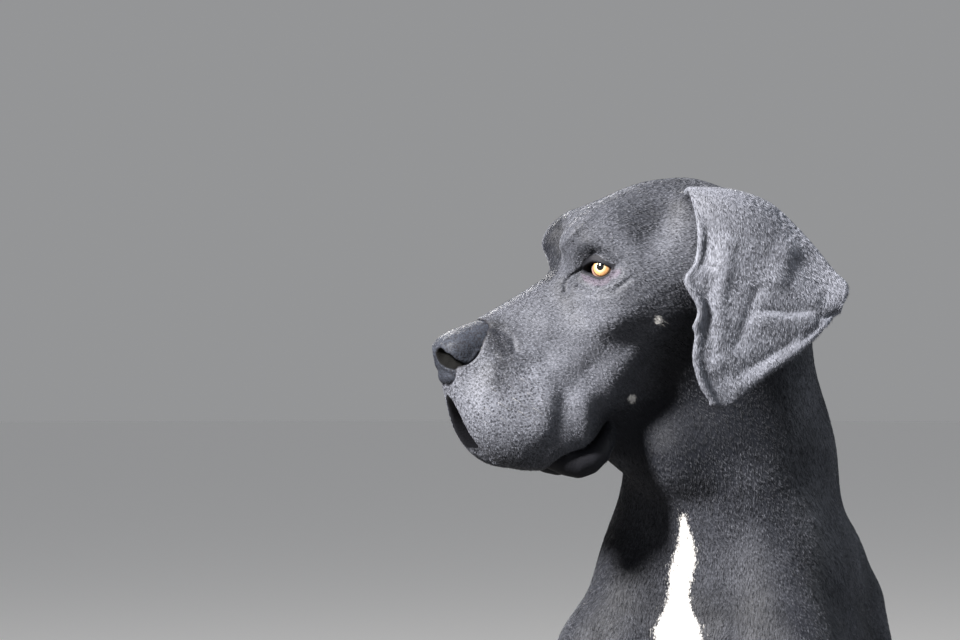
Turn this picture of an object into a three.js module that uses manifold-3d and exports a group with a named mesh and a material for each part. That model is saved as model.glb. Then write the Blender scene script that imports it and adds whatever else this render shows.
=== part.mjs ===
// A life-size great dane, sitting upright with its head turned to its right.
// Millimetres, +Z up, the chest faces -Y, the dog's left side is +X, the floor is z = 0.
// The flesh is one rounded surface: muscles and bones that melt into one another.
// Each node is a stretch of that surface, parted from the next by a thin gap.
import * as THREE from "three";
import { mergeVertices } from "three/addons/utils/BufferGeometryUtils.js";
import Module from "manifold-3d";

const wasm = await Module();
wasm.setup();

// Driving sizes of the dog
const GAP = 0.3; // between nodes that meet face to face
const TURN = THREE.MathUtils.degToRad(50); // of the head to the dog's right
const HEAD_AT = { side: -12, ahead: 248, up: 948.6 }; // the point between the ear roots
const EYE = { at: [97.5, 46, 19.5], radius: 13.5, outward: THREE.MathUtils.degToRad(40) };
const NOSE = { at: [223, 0, -61], radii: [28, 27, 26] };
const CLAW = { length: 17, radius: 4.8 };
const EAR_CUT = 72; // how far out from the middle of the head the ears are parted from it
const EAR_REST = 5; // from the skin to the middle of the ear's thickness
const SLACK = { trunk: 2.6, surface: 1.4, head: 0.8, cut: 0.08 }; // how far thinning may move a surface, and one that was cut

// Joints of the left side, as [out, ahead, up]
const LEG = {
  blade: [64, 104, 684],
  shoulder: [88, 256, 598],
  elbow: [98, 194, 430],
  wrist: [90, 226, 168],
  knuckle: [90, 248, 62],
  hip: [72, -85, 190],
  knee: [146, 84, 276],
  hock: [132, -126, 76],
  toeRoot: [152, 74, 34],
};
const FORE_PAW = { out: 90, ahead: 254, size: 1 };
const HIND_PAW = { out: 152, ahead: 84, size: 0.92 };

// The tail's line from its root to its tip, and its radius at both ends
const TAIL = [
  [0, 172, 168], [0, 226, 112], [4, 280, 42], [30, 346, 15], [88, 412, 11.5], [166, 450, 8.6],
  [252, 462, 6]];
const TAIL_RADIUS = { root: 33, tip: 7 };

// Colours
const coat = new THREE.MeshStandardMaterial({ color: 0x3e3f47, roughness: 0.55 });
const leather = new THREE.MeshStandardMaterial({ color: 0x17181c, roughness: 0.35 });
const eyeball = new THREE.MeshStandardMaterial({ color: 0xd39a5b, roughness: 0.1 });

// Fields: millimetres to the surface, negative inside
const { hypot, abs, min, max, cos, sin, pow, sqrt } = Math;
const mix = (a, b, t) => a + (b - a) * t;
const clamp = (v, low, high) => min(high, max(low, v));

// The union of two forms, rounded where they meet.
function melt(a, b, soft) {
  const h = max(soft - abs(a - b), 0) / soft;
  return min(a, b) - (h * h * soft) / 4;
}

const carve = (a, b, soft) => -melt(-a, b, soft);

// A blob with three radii.
function blob(x, y, z, [cx, cy, cz], [rx, ry, rz]) {
  const px = (x - cx) / rx;
  const py = (y - cy) / ry;
  const pz = (z - cz) / rz;
  const k0 = hypot(px, py, pz);
  const k1 = hypot(px / rx, py / ry, pz / rz);
  return k1 > 0 ? (k0 * (k0 - 1)) / k1 : -min(rx, ry, rz);
}

// A muscle from a to b, with a radius at each end, flattened along x by flat.
function muscle(x, y, z, a, b, ra, rb, flat = 1) {
  const dx = b[0] - a[0];
  const dy = b[1] - a[1];
  const dz = b[2] - a[2];
  const t = clamp(
    ((x - a[0]) * dx + (y - a[1]) * dy + (z - a[2]) * dz) / (dx * dx + dy * dy + dz * dz), 0, 1);
  const qx = (x - a[0] - t * dx) / flat;
  const qy = y - a[1] - t * dy;
  const qz = z - a[2] - t * dz;
  return (hypot(qx, qy, qz) - mix(ra, rb, t)) * mix(flat, 1, 0.35);
}

// A smooth curve through [place, value] pairs, level beyond its ends.
function curve(pairs) {
  const n = pairs.length;
  const slope = pairs.map(([,], i) => {
    const [x0, y0] = pairs[max(i - 1, 0)];
    const [x1, y1] = pairs[min(i + 1, n - 1)];
    return (y1 - y0) / (x1 - x0);
  });
  return (x) => {
    if (x <= pairs[0][0]) return pairs[0][1];
    if (x >= pairs[n - 1][0]) return pairs[n - 1][1];
    let i = 0;
    while (pairs[i + 1][0] < x) i++;
    const [x0, y0] = pairs[i];
    const [x1, y1] = pairs[i + 1];
    const h = x1 - x0;
    const t = (x - x0) / h;
    const s = t * t * (3 - 2 * t);
    return mix(y0, y1, s) + h * t * (1 - t) * (slope[i] * (1 - t) - slope[i + 1] * t);
  };
}

// The head, in its own frame: ahead to the nose, out to its left, up.
// Its profile and its half widths at three levels, along its length
const skullTop = curve([
  [-92, 0], [-75, 48], [-50, 82], [-27, 98], [0, 105], [30, 103], [60, 96], [90, 84],
  [112, 64], [128, 40], [142, 18], [155, 6], [187, -13], [222, -33], [240, -44], [250, -58]]);
const headLow = curve([
  [-92, -20], [-60, -62], [-30, -84], [10, -96], [50, -108], [80, -128], [105, -150],
  [135, -166], [165, -171], [190, -168], [211, -157], [228, -138], [238, -112], [246, -90]]);
const topWidth = curve([[-92, 30], [-60, 52], [-20, 66], [30, 68], [80, 58], [110, 47],
  [140, 34], [170, 31], [205, 29], [230, 22], [250, 18]]);
const midWidth = curve([[-92, 34], [-60, 60], [-20, 76], [30, 80], [75, 74], [105, 60],
  [135, 47], [170, 43], [205, 38], [230, 28], [250, 18]]);
const lowWidth = curve([[-92, 30], [-60, 48], [-20, 56], [30, 56], [75, 52], [110, 50],
  [150, 54], [185, 53], [215, 44], [235, 32], [250, 20]]);
const squareness = curve([[-92, 2], [30, 2.2], [100, 2.4], [150, 2.8], [210, 2.8], [250, 2.2]]);

function headField(a, o, u) {
  const out = abs(o);
  const top = skullTop(a);
  const low = headLow(a);
  const half = (top - low) / 2;
  const level = clamp((u - low) / (top - low), 0, 1);
  const wide = level > 0.5
    ? mix(midWidth(a), topWidth(a), pow(level * 2 - 1, 1.5))
    : mix(lowWidth(a), midWidth(a), level * 2);
  const n = squareness(a);
  const rho = pow(pow(out / wide, n) + pow(abs(u - low - half) / half, n), 1 / n);
  let d = (rho - 1) * min(wide, half) * 0.9;
  d = -melt(-d, 247 - a, 14);
  d = -melt(-d, 92 + a, 30);
  d = melt(d, blob(a, out, u, [88, 33, 43], [50, 29, 33]), 26); // brow
  d = melt(d, blob(a, out, u, [52, 56, -4], [60, 21, 34]), 26); // cheekbone
  d = melt(d, blob(a, out, u, [158, 34, -112], [62, 21, 52]), 18); // flew
  d = melt(d, blob(a, out, u, [-14, 46, 60], [46, 28, 30]), 26); // ear root
  return carve(d, blob(a, out, u, [117, 66, 18], [22, 19, 15]), 12); // eye socket
}

// The lower jaw, from the corner of the mouth to the chin.
const JAW_BACK = 86;
const jawField = (a, o, u) => muscle(u, a, o, [-134, 60, 0], [-131, 188, 0], 29, 24, 0.74);

// The room between the flews, which the jaw sits in, a little larger than the jaw.
function mouthField(a, o, u) {
  const trough = muscle(o, a, u, [0, 40, -182], [0, 262, -150], 61, 51, 0.5);
  return min(trough, jawField(a, o, u) - 2.4);
}

function toHead(x, y, z) {
  const s = x - HEAD_AT.side;
  const f = -y - HEAD_AT.ahead;
  return [f * cos(TURN) - s * sin(TURN), s * cos(TURN) + f * sin(TURN), z - HEAD_AT.up];
}

const headPoint = (a, o, u) => [
  HEAD_AT.side - a * sin(TURN) + o * cos(TURN),
  -(HEAD_AT.ahead + a * cos(TURN) + o * sin(TURN)),
  HEAD_AT.up + u,
];

// The paws: a palm and four toes, the middle two the longest
const TOES = [[-30, -12], [-10.5, 2], [10.5, 2], [30, -12]];
function pawField(out, f, up, { out: at, ahead, size }) {
  let d = blob(out, f, up, [at, ahead, 30 * size], [40 * size, 50 * size, 34 * size]);
  for (const [side, reach] of TOES) {
    const root = [at + side * 0.9 * size, ahead + (14 + reach) * size, 44 * size];
    const tip = [at + side * 1.1 * size, ahead + (56 + reach) * size, 19 * size];
    d = melt(d, muscle(out, f, up, root, tip, 16 * size, 16.5 * size), 6);
  }
  return d;
}

function foreLegField(out, f, z) {
  let d = muscle(out, f, z, LEG.elbow, [90, 214, 250], 45, 29);
  d = melt(d, muscle(out, f, z, [90, 214, 250], LEG.wrist, 29, 27), 20);
  d = melt(d, muscle(out, f, z, [97, 168, 436], [94, 188, 350], 30, 26), 24);
  d = melt(d, blob(out, f, z, [90, 226, 165], [28.5, 28, 48]), 20);
  d = melt(d, muscle(out, f, z, LEG.wrist, LEG.knuckle, 25, 30), 14);
  return melt(d, pawField(out, f, z, FORE_PAW), 14);
}

function hindLegField(out, f, z) {
  let d = muscle(out, f, z, LEG.hip, LEG.knee, 122, 62, 0.6);
  d = melt(d, muscle(out, f, z, [88, -128, 118], [124, 20, 190], 86, 60, 0.62), 40);
  let shank = muscle(out, f, z, LEG.knee, [132, -70, 122], 54, 34, 0.85);
  shank = melt(shank, muscle(out, f, z, [132, -70, 122], LEG.hock, 34, 27, 0.9), 16);
  d = melt(d, shank, 14);
  let foot = muscle(out, f, z, [128, -134, 42], LEG.toeRoot, 33, 28, 0.94);
  foot = melt(foot, blob(out, f, z, [128, -136, 56], [28, 34, 50]), 12);
  foot = melt(foot, pawField(out, f, z, HIND_PAW), 14);
  return melt(d, foot, 16);
}

function trunkField(x, f, z) {
  const out = abs(x);
  let d = muscle(x, f, z, [0, 148, 572], [0, 84, 452], 134, 136, 0.88);
  d = melt(d, muscle(x, f, z, [0, 84, 452], [0, -42, 296], 136, 110, 0.86), 60);
  d = melt(d, muscle(x, f, z, [0, -42, 296], [0, -98, 150], 110, 104, 0.92), 60);
  d = melt(d, blob(out, f, z, [26, 240, 566], [66, 52, 76]), 40);
  d = melt(d, blob(out, f, z, [54, -138, 62], [60, 64, 74]), 36);
  d = melt(d, muscle(out, f, z, LEG.blade, LEG.shoulder, 44, 44), 44);
  d = melt(d, muscle(out, f, z, [70, 62, 636], [86, 56, 520], 48, 54), 40);
  d = melt(d, blob(out, f, z, [74, 196, 678], [46, 62, 60]), 40);
  d = melt(d, muscle(out, f, z, [34, 206, 764], LEG.shoulder, 28, 44), 34);
  d = melt(d, muscle(out, f, z, [84, 160, 560], LEG.elbow, 60, 44), 40);
  return melt(d, muscle(out, f, z, LEG.shoulder, LEG.elbow, 46, 44), 30);
}

// The neck follows the body below and the head above.
function neckField(x, f, z, a, o, u) {
  const low = muscle(x, f, z, [0, 150, 640], [4, 180, 776], 118, 102, 0.92);
  return melt(low, muscle(o, a, u, [-38, -57, -170], [0, -40, -58], 92, 82, 0.82), 40);
}

const tailLine = new THREE.CatmullRomCurve3(TAIL.map((p) => new THREE.Vector3(...p)));
const TAIL_STEPS = 18;
const tailPoints = tailLine.getSpacedPoints(TAIL_STEPS).map((p) => p.toArray());
const tailRadius = (i) => mix(TAIL_RADIUS.root, TAIL_RADIUS.tip, pow(i / TAIL_STEPS, 0.6));

function tailField(x, y, z) {
  let d = 1e3;
  for (let i = 0; i < TAIL_STEPS; i++)
    d = melt(d, muscle(x, y, z, tailPoints[i], tailPoints[i + 1], tailRadius(i), tailRadius(i + 1)), 5);
  return d;
}

function flesh(x, y, z) {
  const out = abs(x);
  let d = trunkField(x, -y, z);
  if (z < 480) d = melt(d, foreLegField(out, -y, z), 26);
  if (z < 440) d = melt(d, hindLegField(out, -y, z), clamp(24 - (-y - 50) * 0.28, 2, 24));
  if (z < 320 && y > 60) d = melt(d, tailField(x, y, z), 22);
  if (z > 480) {
    const [a, o, u] = toHead(x, y, z);
    d = melt(d, neckField(x, -y, z, a, o, u), 45);
    if (z > 720) d = melt(d, headField(a, o, u), 34);
  }
  return d;
}

// Fills an outside corner of each grid square whose signs alternate, where two sheets would share an edge.
function untangle(value, stride, [nx, ny, nz]) {
  for (let changed = 1; changed; ) {
    changed = 0;
    for (let k = 1; k < nz - 1; k++)
      for (let j = 1; j < ny - 1; j++)
        for (let i = 1; i < nx - 1; i++)
          for (let axis = 0; axis < 3; axis++) {
            const [p, q] = [stride[(axis + 1) % 3], stride[(axis + 2) % 3]];
            const n = i + nx * (j + ny * k);
            const square = [n, n + p, n + p + q, n + q];
            const inside = square.map((m) => value[m] < 0);
            if (inside[0] !== inside[2] || inside[1] !== inside[3] || inside[0] === inside[1]) continue;
            const open = square.filter((m) => value[m] >= 0);
            value[value[open[0]] < value[open[1]] ? open[0] : open[1]] = -1e-3;
            changed++;
          }
  }
}

// Places from low to high, about cell apart, and about fine apart between from and to.
function ticks(low, high, cell, from = high, to = high, fine = cell) {
  const places = [];
  for (const [start, end, step] of [[low, from, cell], [from, to, fine], [to, high, cell]]) {
    const n = Math.round((end - start) / step);
    for (let i = 0; i < n; i++) places.push(mix(start, end, i / n));
  }
  return [...places, high];
}

// The surface of a field: a vertex in each cell that it crosses and a square for each crossed edge.
function meshOf(field, xs, ys, zs, slack = SLACK.surface) {
  const [nx, ny, nz] = [xs.length, ys.length, zs.length];
  const at = (i, j, k) => (k * ny + j) * nx + i;
  const value = new Float32Array(nx * ny * nz);
  for (let k = 0; k < nz; k++)
    for (let j = 0; j < ny; j++)
      for (let i = 0; i < nx; i++) {
        const rim = !i || !j || !k || i === nx - 1 || j === ny - 1 || k === nz - 1;
        const v = field(xs[i], ys[j], zs[k]);
        value[at(i, j, k)] = rim ? max(v, 3) : v || 1e-6;
      }
  untangle(value, [1, nx, nx * ny], [nx, ny, nz]);
  const points = [];
  const index = new Int32Array(nx * ny * nz).fill(-1);
  const corners = [0, 1, 2, 3, 4, 5, 6, 7].map((c) => [c & 1, (c >> 1) & 1, c >> 2]);
  for (let k = 0; k < nz - 1; k++)
    for (let j = 0; j < ny - 1; j++)
      for (let i = 0; i < nx - 1; i++) {
        const sum = [0, 0, 0];
        let count = 0;
        corners.forEach(([a, b, c], n) => {
          const v = value[at(i + a, j + b, k + c)];
          for (const bit of [1, 2, 4]) {
            if (n & bit) continue;
            const [a2, b2, c2] = corners[n | bit];
            const w = value[at(i + a2, j + b2, k + c2)];
            if (v < 0 === w < 0) continue;
            const t = v / (v - w);
            sum[0] += mix(xs[i + a], xs[i + a2], t);
            sum[1] += mix(ys[j + b], ys[j + b2], t);
            sum[2] += mix(zs[k + c], zs[k + c2], t);
            count++;
          }
        });
        if (!count) continue;
        index[at(i, j, k)] = points.length / 3;
        const reach = min(xs[i + 1] - xs[i], ys[j + 1] - ys[j], zs[k + 1] - zs[k]) / 2;
        points.push(...onto(field, sum[0] / count, sum[1] / count, sum[2] / count, reach));
      }
  const faces = [];
  const steps = [[1, 0, 0], [0, 1, 0], [0, 0, 1]];
  for (let k = 0; k < nz - 1; k++)
    for (let j = 0; j < ny - 1; j++)
      for (let i = 0; i < nx - 1; i++)
        steps.forEach(([a, b, c], axis) => {
          const v = value[at(i, j, k)];
          const w = value[at(i + a, j + b, k + c)];
          if (v < 0 === w < 0) return;
          const [p, q] = [steps[(axis + 1) % 3], steps[(axis + 2) % 3]];
          const around = [[0, 0], [1, 0], [1, 1], [0, 1]].map(([m, n]) =>
            index[at(i - m * p[0] - n * q[0], j - m * p[1] - n * q[1], k - m * p[2] - n * q[2])]);
          if (v >= 0) around.reverse();
          faces.push(around[0], around[1], around[2], around[0], around[2], around[3]);
        });
  return thin(manifold(Float32Array.from(points), Uint32Array.from(faces)), slack);
}

// Slides a point along the field's slope until it lies on the surface, by at most reach.
function onto(field, x, y, z, reach) {
  const [sx, sy, sz] = [x, y, z];
  for (let n = 0; n < 3; n++) {
    const v = field(x, y, z);
    const gx = field(x + 0.5, y, z) - field(x - 0.5, y, z);
    const gy = field(x, y + 0.5, z) - field(x, y - 0.5, z);
    const gz = field(x, y, z + 0.5) - field(x, y, z - 0.5);
    const g2 = gx * gx + gy * gy + gz * gz;
    if (g2 < 1e-4) break;
    x -= (v * gx) / g2;
    y -= (v * gy) / g2;
    z -= (v * gz) / g2;
  }
  const far = hypot(x - sx, y - sy, z - sz);
  const t = far > reach ? reach / far : 1;
  return [mix(sx, x, t), mix(sy, y, t), mix(sz, z, t)];
}

const manifold = (vertProperties, triVerts) =>
  new wasm.Manifold(new wasm.Mesh({ numProp: 3, vertProperties, triVerts }));

// The squared distance to a plane, as the ten terms of its square form.
function planeForm([nx, ny, nz], w) {
  return [nx * nx, nx * ny, nx * nz, nx * w, ny * ny, ny * nz, ny * w, nz * nz, nz * w, w * w];
}

const formAt = (q, [x, y, z]) =>
  q[0] * x * x + q[4] * y * y + q[7] * z * z + q[9] +
  2 * (q[1] * x * y + q[2] * x * z + q[5] * y * z + q[3] * x + q[6] * y + q[8] * z);

function cross(p, q, r) {
  const [ax, ay, az] = [q[0] - p[0], q[1] - p[1], q[2] - p[2]];
  const [bx, by, bz] = [r[0] - p[0], r[1] - p[1], r[2] - p[2]];
  return [ay * bz - az * by, az * bx - ax * bz, ax * by - ay * bx];
}

// Merges vertices into their neighbours where that moves the surface by no more than about slack.
// Flat stretches keep few faces, cut edges stay sharp, and slivers go.
function thin(made, slack) {
  const mesh = made.getMesh();
  const at = [];
  for (let i = 0; i < mesh.vertProperties.length; i += 3) at.push([...mesh.vertProperties.slice(i, i + 3)]);
  const faces = [];
  for (let i = 0; i < mesh.triVerts.length; i += 3) faces.push([...mesh.triVerts.slice(i, i + 3)]);
  const around = at.map(() => new Set());
  const form = at.map(() => new Array(10).fill(0));
  faces.forEach((face, n) => {
    const [p, q, r] = face.map((v) => at[v]);
    const c = cross(p, q, r);
    const size = hypot(...c);
    for (const v of face) around[v].add(n);
    if (size < 1e-3) return;
    const unit = c.map((v) => v / size);
    const plane = planeForm(unit, -(unit[0] * p[0] + unit[1] * p[1] + unit[2] * p[2]));
    for (const v of face) plane.forEach((term, k) => { form[v][k] += term; });
  });
  const near = (v) => new Set([...around[v]].flatMap((n) => faces[n]).filter((w) => w !== v));
  const cost = (from, to) => formAt(form[from], at[to]) + formAt(form[to], at[to]);

  // Whether from may move to to: the surface stays closed and no face turns over.
  function free(from, to) {
    const beside = near(to);
    if ([...near(from)].filter((v) => beside.has(v)).length !== 2) return false;
    return [...around[from]].every((n) => {
      if (faces[n].includes(to)) return true;
      const before = cross(...faces[n].map((v) => at[v]));
      const after = cross(...faces[n].map((v) => at[v === from ? to : v]));
      const [was, is] = [hypot(...before), hypot(...after)];
      const turn = before[0] * after[0] + before[1] * after[1] + before[2] * after[2];
      return is > 0.02 && (was < 0.02 || turn > 0.5 * was * is);
    });
  }

  for (let merged = 1; merged; ) {
    merged = 0;
    const moves = [];
    for (let v = 0; v < at.length; v++)
      for (const w of near(v)) {
        const c = cost(v, w);
        if (c < slack * slack) moves.push([c + 1e-6 * hypot(at[v][0] - at[w][0], at[v][1] - at[w][1], at[v][2] - at[w][2]), v, w]);
      }
    moves.sort((m, n) => m[0] - n[0]);
    const touched = new Set();
    for (const [, from, to] of moves) {
      if (touched.has(from) || touched.has(to) || !free(from, to)) continue;
      for (const v of near(from)) touched.add(v);
      touched.add(from);
      for (const n of around[from]) {
        if (faces[n].includes(to)) {
          for (const v of faces[n]) if (v !== from) around[v].delete(n);
          faces[n] = [];
          continue;
        }
        faces[n] = faces[n].map((v) => (v === from ? to : v));
        around[to].add(n);
      }
      around[from].clear();
      form[from].forEach((term, k) => { form[to][k] += term; });
      merged++;
    }
  }
  const index = new Map();
  const points = [];
  const left = faces.flat().map((v) => {
    if (!index.has(v)) index.set(v, points.push(...at[v]) / 3 - 1);
    return index.get(v);
  });
  return manifold(Float32Array.from(points), Uint32Array.from(left));
}

// A closed geometry as a solid for cutting and joining.
function solid(geometry) {
  const g = geometry.clone();
  g.deleteAttribute("normal");
  g.deleteAttribute("uv");
  const merged = mergeVertices(g, 1e-4);
  return manifold(merged.attributes.position.array, new Uint32Array(merged.index.array));
}

// The room on the side of a plane that its normal points to, as a very large block.
function beyond({ at, faces }, gap) {
  const far = 2600;
  const n = new THREE.Vector3(...faces).normalize();
  const block = new THREE.BoxGeometry(far, far, far).translate(0, 0, far / 2 + gap);
  block.applyQuaternion(new THREE.Quaternion().setFromUnitVectors(new THREE.Vector3(0, 0, 1), n));
  return solid(block.translate(...at));
}

// Moves a solid from the head's frame to the dog's.
function fromHead(made) {
  const m = new THREE.Matrix4().set(
    -sin(TURN), cos(TURN), 0, HEAD_AT.side,
    -cos(TURN), -sin(TURN), 0, -HEAD_AT.ahead,
    0, 0, 1, HEAD_AT.up,
    0, 0, 0, 1);
  return made.transform(m.elements);
}

// A round bar through points, with a radius at each; a closed one has no ends.
function bar(points, radii, sides, closed = false) {
  const n = points.length;
  const at = points.map((p) => new THREE.Vector3(...p));
  const rings = closed ? n : n - 1;
  const vertices = [];
  const faces = [];
  const across = new THREE.Vector3(0, 0, 1);
  for (let i = 0; i < n; i++) {
    const before = at[closed ? (i + n - 1) % n : max(i - 1, 0)];
    const after = at[closed ? (i + 1) % n : min(i + 1, n - 1)];
    const along = after.clone().sub(before).normalize();
    const first = across.clone().addScaledVector(along, -across.dot(along));
    if (first.length() < 0.05) first.set(1, 0, 0).addScaledVector(along, -along.x);
    first.normalize();
    const second = along.clone().cross(first);
    for (let j = 0; j < sides; j++) {
      const turn = (2 * Math.PI * j) / sides;
      vertices.push(...at[i].clone().addScaledVector(first, radii[i] * cos(turn))
        .addScaledVector(second, radii[i] * sin(turn)).toArray());
    }
  }
  for (let i = 0; i < rings; i++)
    for (let j = 0; j < sides; j++) {
      const [a, b] = [i * sides + j, i * sides + ((j + 1) % sides)];
      const [c, d] = [((i + 1) % n) * sides + j, ((i + 1) % n) * sides + ((j + 1) % sides)];
      faces.push(a, b, d, a, d, c);
    }
  if (!closed) {
    vertices.push(...points[0], ...points[n - 1]);
    for (let j = 0; j < sides; j++) {
      const next = (j + 1) % sides;
      faces.push(n * sides, next, j, n * sides + 1, (n - 1) * sides + j, (n - 1) * sides + next);
    }
  }
  return manifold(Float32Array.from(vertices), Uint32Array.from(faces));
}

// A curved flap, place(s, t) with s and t from 0 to 1, split into triangles alike on both faces.
function flap(place, rows, cols, thick) {
  const vertices = [];
  const faces = [];
  const at = (face, i, j) => (face * (rows + 1) + i) * (cols + 1) + j;
  for (const face of [0, 1])
    for (let i = 0; i <= rows; i++)
      for (let j = 0; j <= cols; j++) {
        const [s, t] = [i / rows, j / cols];
        const p = new THREE.Vector3(...place(s, t));
        const ds = new THREE.Vector3(...place(s + 0.01, t)).sub(new THREE.Vector3(...place(s - 0.01, t)));
        const dt = new THREE.Vector3(...place(s, t + 0.01)).sub(new THREE.Vector3(...place(s, t - 0.01)));
        const half = (face ? 1 : -1) * thick(s, t) / 2;
        vertices.push(...p.addScaledVector(ds.cross(dt).normalize(), half).toArray());
      }
  for (let i = 0; i < rows; i++)
    for (let j = 0; j < cols; j++)
      for (const face of [0, 1]) {
        const [a, b, c, d] = [at(face, i, j), at(face, i + 1, j), at(face, i + 1, j + 1), at(face, i, j + 1)];
        faces.push(...(face ? [a, b, c, a, c, d] : [a, c, b, a, d, c]));
      }
  const rim = [];
  for (let i = 0; i < rows; i++) rim.push([i, 0]);
  for (let j = 0; j < cols; j++) rim.push([rows, j]);
  for (let i = rows; i > 0; i--) rim.push([i, cols]);
  for (let j = cols; j > 0; j--) rim.push([0, j]);
  rim.forEach(([i, j], n) => {
    const [i2, j2] = rim[(n + 1) % rim.length];
    const [a, b, c, d] = [at(0, i, j), at(0, i2, j2), at(1, i2, j2), at(1, i, j)];
    faces.push(a, b, c, a, c, d);
  });
  return manifold(Float32Array.from(vertices), Uint32Array.from(faces));
}

// The ear: its front and rear edges from the root over the crest to the lower border, how far it
// stands out, how much it bows to make its cup, and how far the lower border hangs below its corners.
const DOWN = [0, 0.1, 0.2, 0.28, 0.36, 0.5, 0.7, 0.88, 1];
const down = (values) => curve(values.map((v, i) => [DOWN[i], v]));
const frontA = down([14, 18, 20, 17, 15, 20, 20, 19, 17]);
const frontU = down([62, 82, 93, 83, 64, 28, -22, -63, -88]);
const rearA = down([-44, -45, -49, -57, -66, -82, -100, -112, -108]);
const rearU = down([46, 68, 80, 74, 63, 42, 15, -3, -25]);
const earOut = down([34, 56, 76, 88, 94, 97, 97, 95, 93]);
const earBow = down([2, 8, 13, 16, 16, 12, 7, 4, 3]);
const earBorder = curve([[0, 0], [0.05, -20], [0.14, -34], [0.35, -28], [0.6, -21], [0.85, -10], [1, 0]]);

function earPlace(s, t) {
  const arch = 1 - pow(2 * t - 1, 2);
  const a = mix(frontA(s), rearA(s), t);
  const u = mix(frontU(s), rearU(s), t) + earBorder(t) * pow(clamp(s, 0, 1), 4);
  return [a, earOut(s) + earBow(s) * (arch - 0.5) + 14 * s * t * t, u + 5 * arch * (1 - s)];
}

const earThick = (s) => 4.5 + 9 * pow(max(0, 1 - s / 0.3), 2);

// The ear as it hangs: below its crest it lies on the cheek and neck of its side.
const earHanging = (side) => (s, t) => {
  const [a, o, u] = earPlace(s, t);
  let out = o;
  if (s > 0.3)
    for (let n = 0; n < 4; n++) out += max(0, EAR_REST - flesh(...headPoint(a, side * out, u)));
  return [a, out, u];
};

// A place on the eyeball's sphere, by how far ahead and up of its middle it lies.
function onEye(ahead, up, radius) {
  const [ca, co, cu] = EYE.at;
  const [c, s] = [cos(EYE.outward), sin(EYE.outward)];
  const v = new THREE.Vector3(c + ahead * s, s - ahead * c, up).setLength(radius);
  return [ca + v.x, co + v.y, cu + v.z];
}

// The rim of both lids, an almond with its inner corner low.
function lids() {
  const points = [];
  const radii = [];
  const n = 12;
  for (let i = 0; i < n; i++) {
    const turn = (2 * Math.PI * i) / n;
    const open = sin(turn) > 0 ? 0.62 : 0.6;
    points.push(onEye(1.25 * cos(turn), open * sin(turn) - 0.16 * cos(turn), EYE.radius + 1.4));
    radii.push(mix(2.6, 3.4, abs(sin(turn))));
  }
  return bar(points, radii, 5, true);
}

// The bare nose pad, the hollows of its nostrils and the groove from it down to the lip
const padField = (a, o, u) => blob(a, o, u, NOSE.at, NOSE.radii);
const nostril = (s) => bar(
  [[258, 9, -57], [248, 10.5, -59], [240, 18, -63], [232, 28, -68]].map(([a, o, u]) => [a, s * o, u]),
  [6.5, 6, 4.2, 3], 8);
const groove = () => bar([[254, 0, -60], [251, 0, -74], [245, 0, -90], [240, 0, -108]], [2, 2, 2, 2], 6);

// The fold of the lower lip that hangs at each corner of the mouth, grown by some millimetres.
const lipFold = (s, by) => bar(
  [[88, 22, -134], [100, 29, -151], [112, 33, -163], [126, 33, -166], [142, 30, -161], [158, 20, -152]]
    .map(([a, o, u]) => [a, s * o, u]), [9, 9, 9, 9, 9, 8].map((r) => r + by), 8);

// A claw: a cone that curves down to its tip.
function claw([x, y, z], forward, size) {
  const points = [];
  const radii = [];
  for (const t of [-0.6, 0.1, 0.6, 1]) {
    const reach = CLAW.length * size * t;
    points.push([x + forward[0] * reach, y + forward[1] * reach, z + (t > 0 ? -9 * size * t * t : 0)]);
    radii.push(CLAW.radius * size * (t > 0 ? 1 - 0.82 * t : 1));
  }
  return bar(points, radii, 4);
}

function claws(s, { out, ahead, size }) {
  return TOES.map(([side, reach]) => {
    const tip = [s * (out + side * 1.12 * size), -(ahead + (66 + reach) * size), 19 * size];
    return claw(tip, [s * side * 0.004, -1], size);
  });
}

const largest = (made) => made.decompose().sort((a, b) => b.volume() - a.volume())[0];

const dog = new THREE.Group();

function place(name, made, material) {
  const mesh = thin(largest(made), SLACK.cut).getMesh();
  const g = new THREE.BufferGeometry();
  g.setAttribute("position", new THREE.BufferAttribute(mesh.vertProperties.slice(), 3));
  g.setIndex(new THREE.BufferAttribute(mesh.triVerts.slice(), 1));
  g.computeVertexNormals();
  const placed = new THREE.Mesh(g, material);
  placed.name = name;
  dog.add(placed);
}

// Parting planes: a point on each and the way it faces
const FLOOR = { at: [0, 0, 0], faces: [0, 0, 1] };
const NAPE = { at: headPoint(-75, 0, 75), faces: [-sin(TURN) * 225, -cos(TURN) * 225, 120] };
const WITHERS = { at: [0, -105, 726], faces: [0, -105, 190] };
const ELBOW = { at: [0, 0, 362], faces: [0, 0, -1] };
const PASTERN = { at: [0, 0, 104], faces: [0, 0, -1] };
const armSide = (s) => ({ at: [s * 46, 0, 0], faces: [s, 0, 0] });
const armBack = (s) => ({ at: [s * 114, -167, 0], faces: [-0.435 * s, -0.903, 0] });
const FLANK = { at: [0, -60, 330], faces: [0, -0.17, -0.98] };
const groin = (s) => ({ at: [s * 96, 0, 0], faces: [s, 0, 0] });
const FOLD = { at: [0, 40, 176], faces: [0, 0.56, 0.83] };
const HOCK = { at: [0, 0, 86], faces: [0, 0, -1] };
const TAIL_ROOT = { at: [0, 212, 0], faces: [0, 1, 0] };
const TAIL_MID = { at: [44, 366, 0], faces: [0.68, 0.73, 0] };
const flip = ({ at, faces }) => ({ at, faces: faces.map((v) => -v) });
const keep = (made, ...planes) =>
  planes.reduce((left, p) => left.intersect(beyond(p, p === FLOOR ? 0 : GAP / 2)), made);
const room = (...planes) => planes.slice(1).reduce((left, p) => left.intersect(beyond(p, -GAP / 2)),
  beyond(planes[0], -GAP / 2));

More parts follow.
